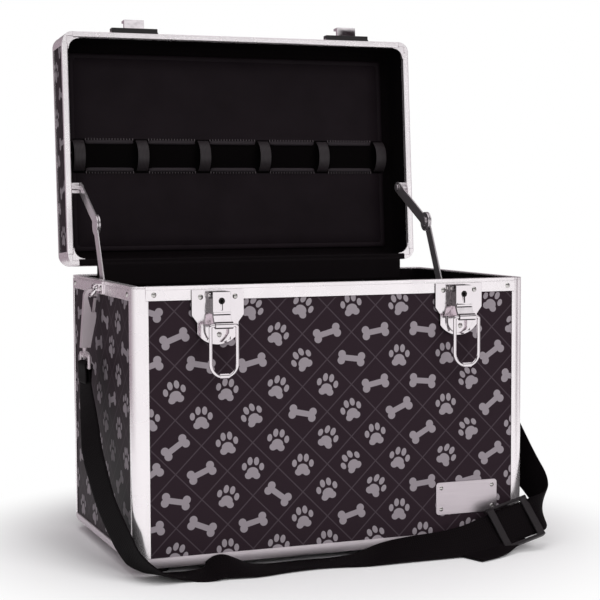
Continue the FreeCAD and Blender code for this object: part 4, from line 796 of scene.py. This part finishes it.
cloth, tree, shader = coat("charcoal_piping_cloth", Roughness=0.6, Specular_IOR_Level=0.25)
spot = add(tree, "TexCoord").outputs["Object"]
thread = add(tree, "TexNoise", {"Vector": spot, "Scale": 1 / 0.001, "Detail": 2.0}).outputs[0]
tone = add(tree, "MixRGB", {"Fac": thread, "Color1": tint("#1d191c"), "Color2": tint("#302a2e")}).outputs[0]
tree.links.new(tone, shader.inputs["Base Color"])
rolls = np.stack([piping(x, y) for x in BETWEEN for y in (-ROLL_ROW, ROLL_ROW)])
count, rows, cols, _ = rolls.shape
faces = joined([grid_quads(rows, cols)] * count, rows * cols)
roll = place("tool_strip_piping", mesh_of("tool_strip_piping", swung(rolls), faces), cloth)
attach(roll, "lid")


def stitches(start, half_long, half_thick):
    """Overcast thread: short ovals of revolution, one for each start point, lying across the tape's edge."""
    u, v = np.meshgrid(np.linspace(0, np.pi, 7), np.linspace(0, 2 * np.pi, 9)[:-1], indexing="ij")
    waist = np.sin(u) * half_thick
    one = np.stack([waist * np.sin(v), np.cos(u) * half_long, waist * np.cos(v)], -1)
    return start[:, None, None, :] + one[None]


thread_x = np.concatenate([np.arange(x - SEAM_X, x + SEAM_X + 0.1, PITCH) for x in BETWEEN])
level_y, level_z = np.full(len(thread_x), STRIP_Y), np.full(len(thread_x), SEAM_FACE)
flat_row = np.stack([thread_x, level_y, level_z], -1)
starts = np.concatenate([flat_row + [0, y, 0] for y in (-SEAM_ROW, SEAM_ROW)])
overcast = stitches(starts, HALF_STITCH, HALF_THREAD)
count, rows, cols, _ = overcast.shape
faces = joined([grid_quads(rows, cols, True)] * count, rows * cols)
yarn, tree, shader = coat("grey_sewing_thread", Roughness=0.6, Specular_IOR_Level=0.3)
spot = add(tree, "TexCoord").outputs["Object"]
twist = add(tree, "TexNoise", {"Vector": spot, "Scale": 1 / 0.0006, "Detail": 1.0}).outputs[0]
tone = add(tree, "MixRGB", {"Fac": twist, "Color1": tint("#453f42"), "Color2": tint("#655d61")}).outputs[0]
tree.links.new(tone, shader.inputs["Base Color"])
seam = place("tool_strip_stitches", mesh_of("tool_strip_stitches", swung(overcast / 1000), faces), yarn)
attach(seam, "lid")

# Tool loops: six bands of ribbed elastic, arched over the velvet tape and sewn down at both ends. The woven
# rubber cords show as fine lines along each band, about 1.4 mm apart: their crests are painted lighter and
# their grooves darker, painted sheen and painted shade over their bump.
elastic, tree, shader = coat("black_ribbed_elastic", Roughness=0.5, Specular_IOR_Level=0.4)
flat = add(tree, "UVMap").outputs[0]
cords = add(tree, "Mapping", {"Vector": flat, "Scale": (1, 2 * np.pi / 0.0014, 1)}).outputs[0]
part = add(tree, "SeparateXYZ", {0: cords})
rib = add(tree, "Math", {0: part.outputs[1]}, operation="SINE").outputs[0]
lift = add(tree, "MapRange", {"Value": rib, "From Min": -1.0}).outputs[0]
# Cord crests lighter, grooves darker: painted sheen and painted shade.
tone = add(tree, "MixRGB", {"Fac": lift, "Color1": tint("#141113"), "Color2": tint("#342e31")}).outputs[0]
tree.links.new(tone, shader.inputs["Base Color"])
bump = add(tree, "Bump", {"Height": lift, "Strength": 0.3, "Distance": 0.0003}).outputs[0]
tree.links.new(bump, shader.inputs["Normal"])
HALF_ARC, BOW_R, BOW_Z, HALF_BAND, BAND_T = 1.052, 17.25, 289.15, 0.00575, 0.0006
lean = np.linspace(-HALF_ARC, HALF_ARC, 31)
bow_y, bow_z = STRIP_Y + BOW_R * np.sin(lean), BOW_Z - BOW_R * np.cos(lean)
bow = np.stack([np.zeros(len(lean)), bow_y, bow_z], -1) / 1000
sideways = np.tile([1.0, 0.0, 0.0], (len(lean), 1))
bands = [ribbon(bow + [x / 1000, 0, 0], sideways, HALF_BAND, BAND_T) for x in LOOPS]
points = np.stack([b[0] for b in bands])
faces = joined([b[1] for b in bands], len(lean) * SECTION)
skin = mesh_of("tool_loops_elastic", swung(points), faces, np.stack([b[2] for b in bands]))
loops = place("tool_loops_elastic", skin, elastic)
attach(loops, "lid")
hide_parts("tool_loops")

# Carrying handle: a moulded nylon grip that turns in two chromed brackets riveted to the top of the lid.
# It lies folded flat against the lid when nobody holds it.
dressed(plastic, "carry_handle")
eased(plated, "chrome", 0.0003, "handle_brackets")
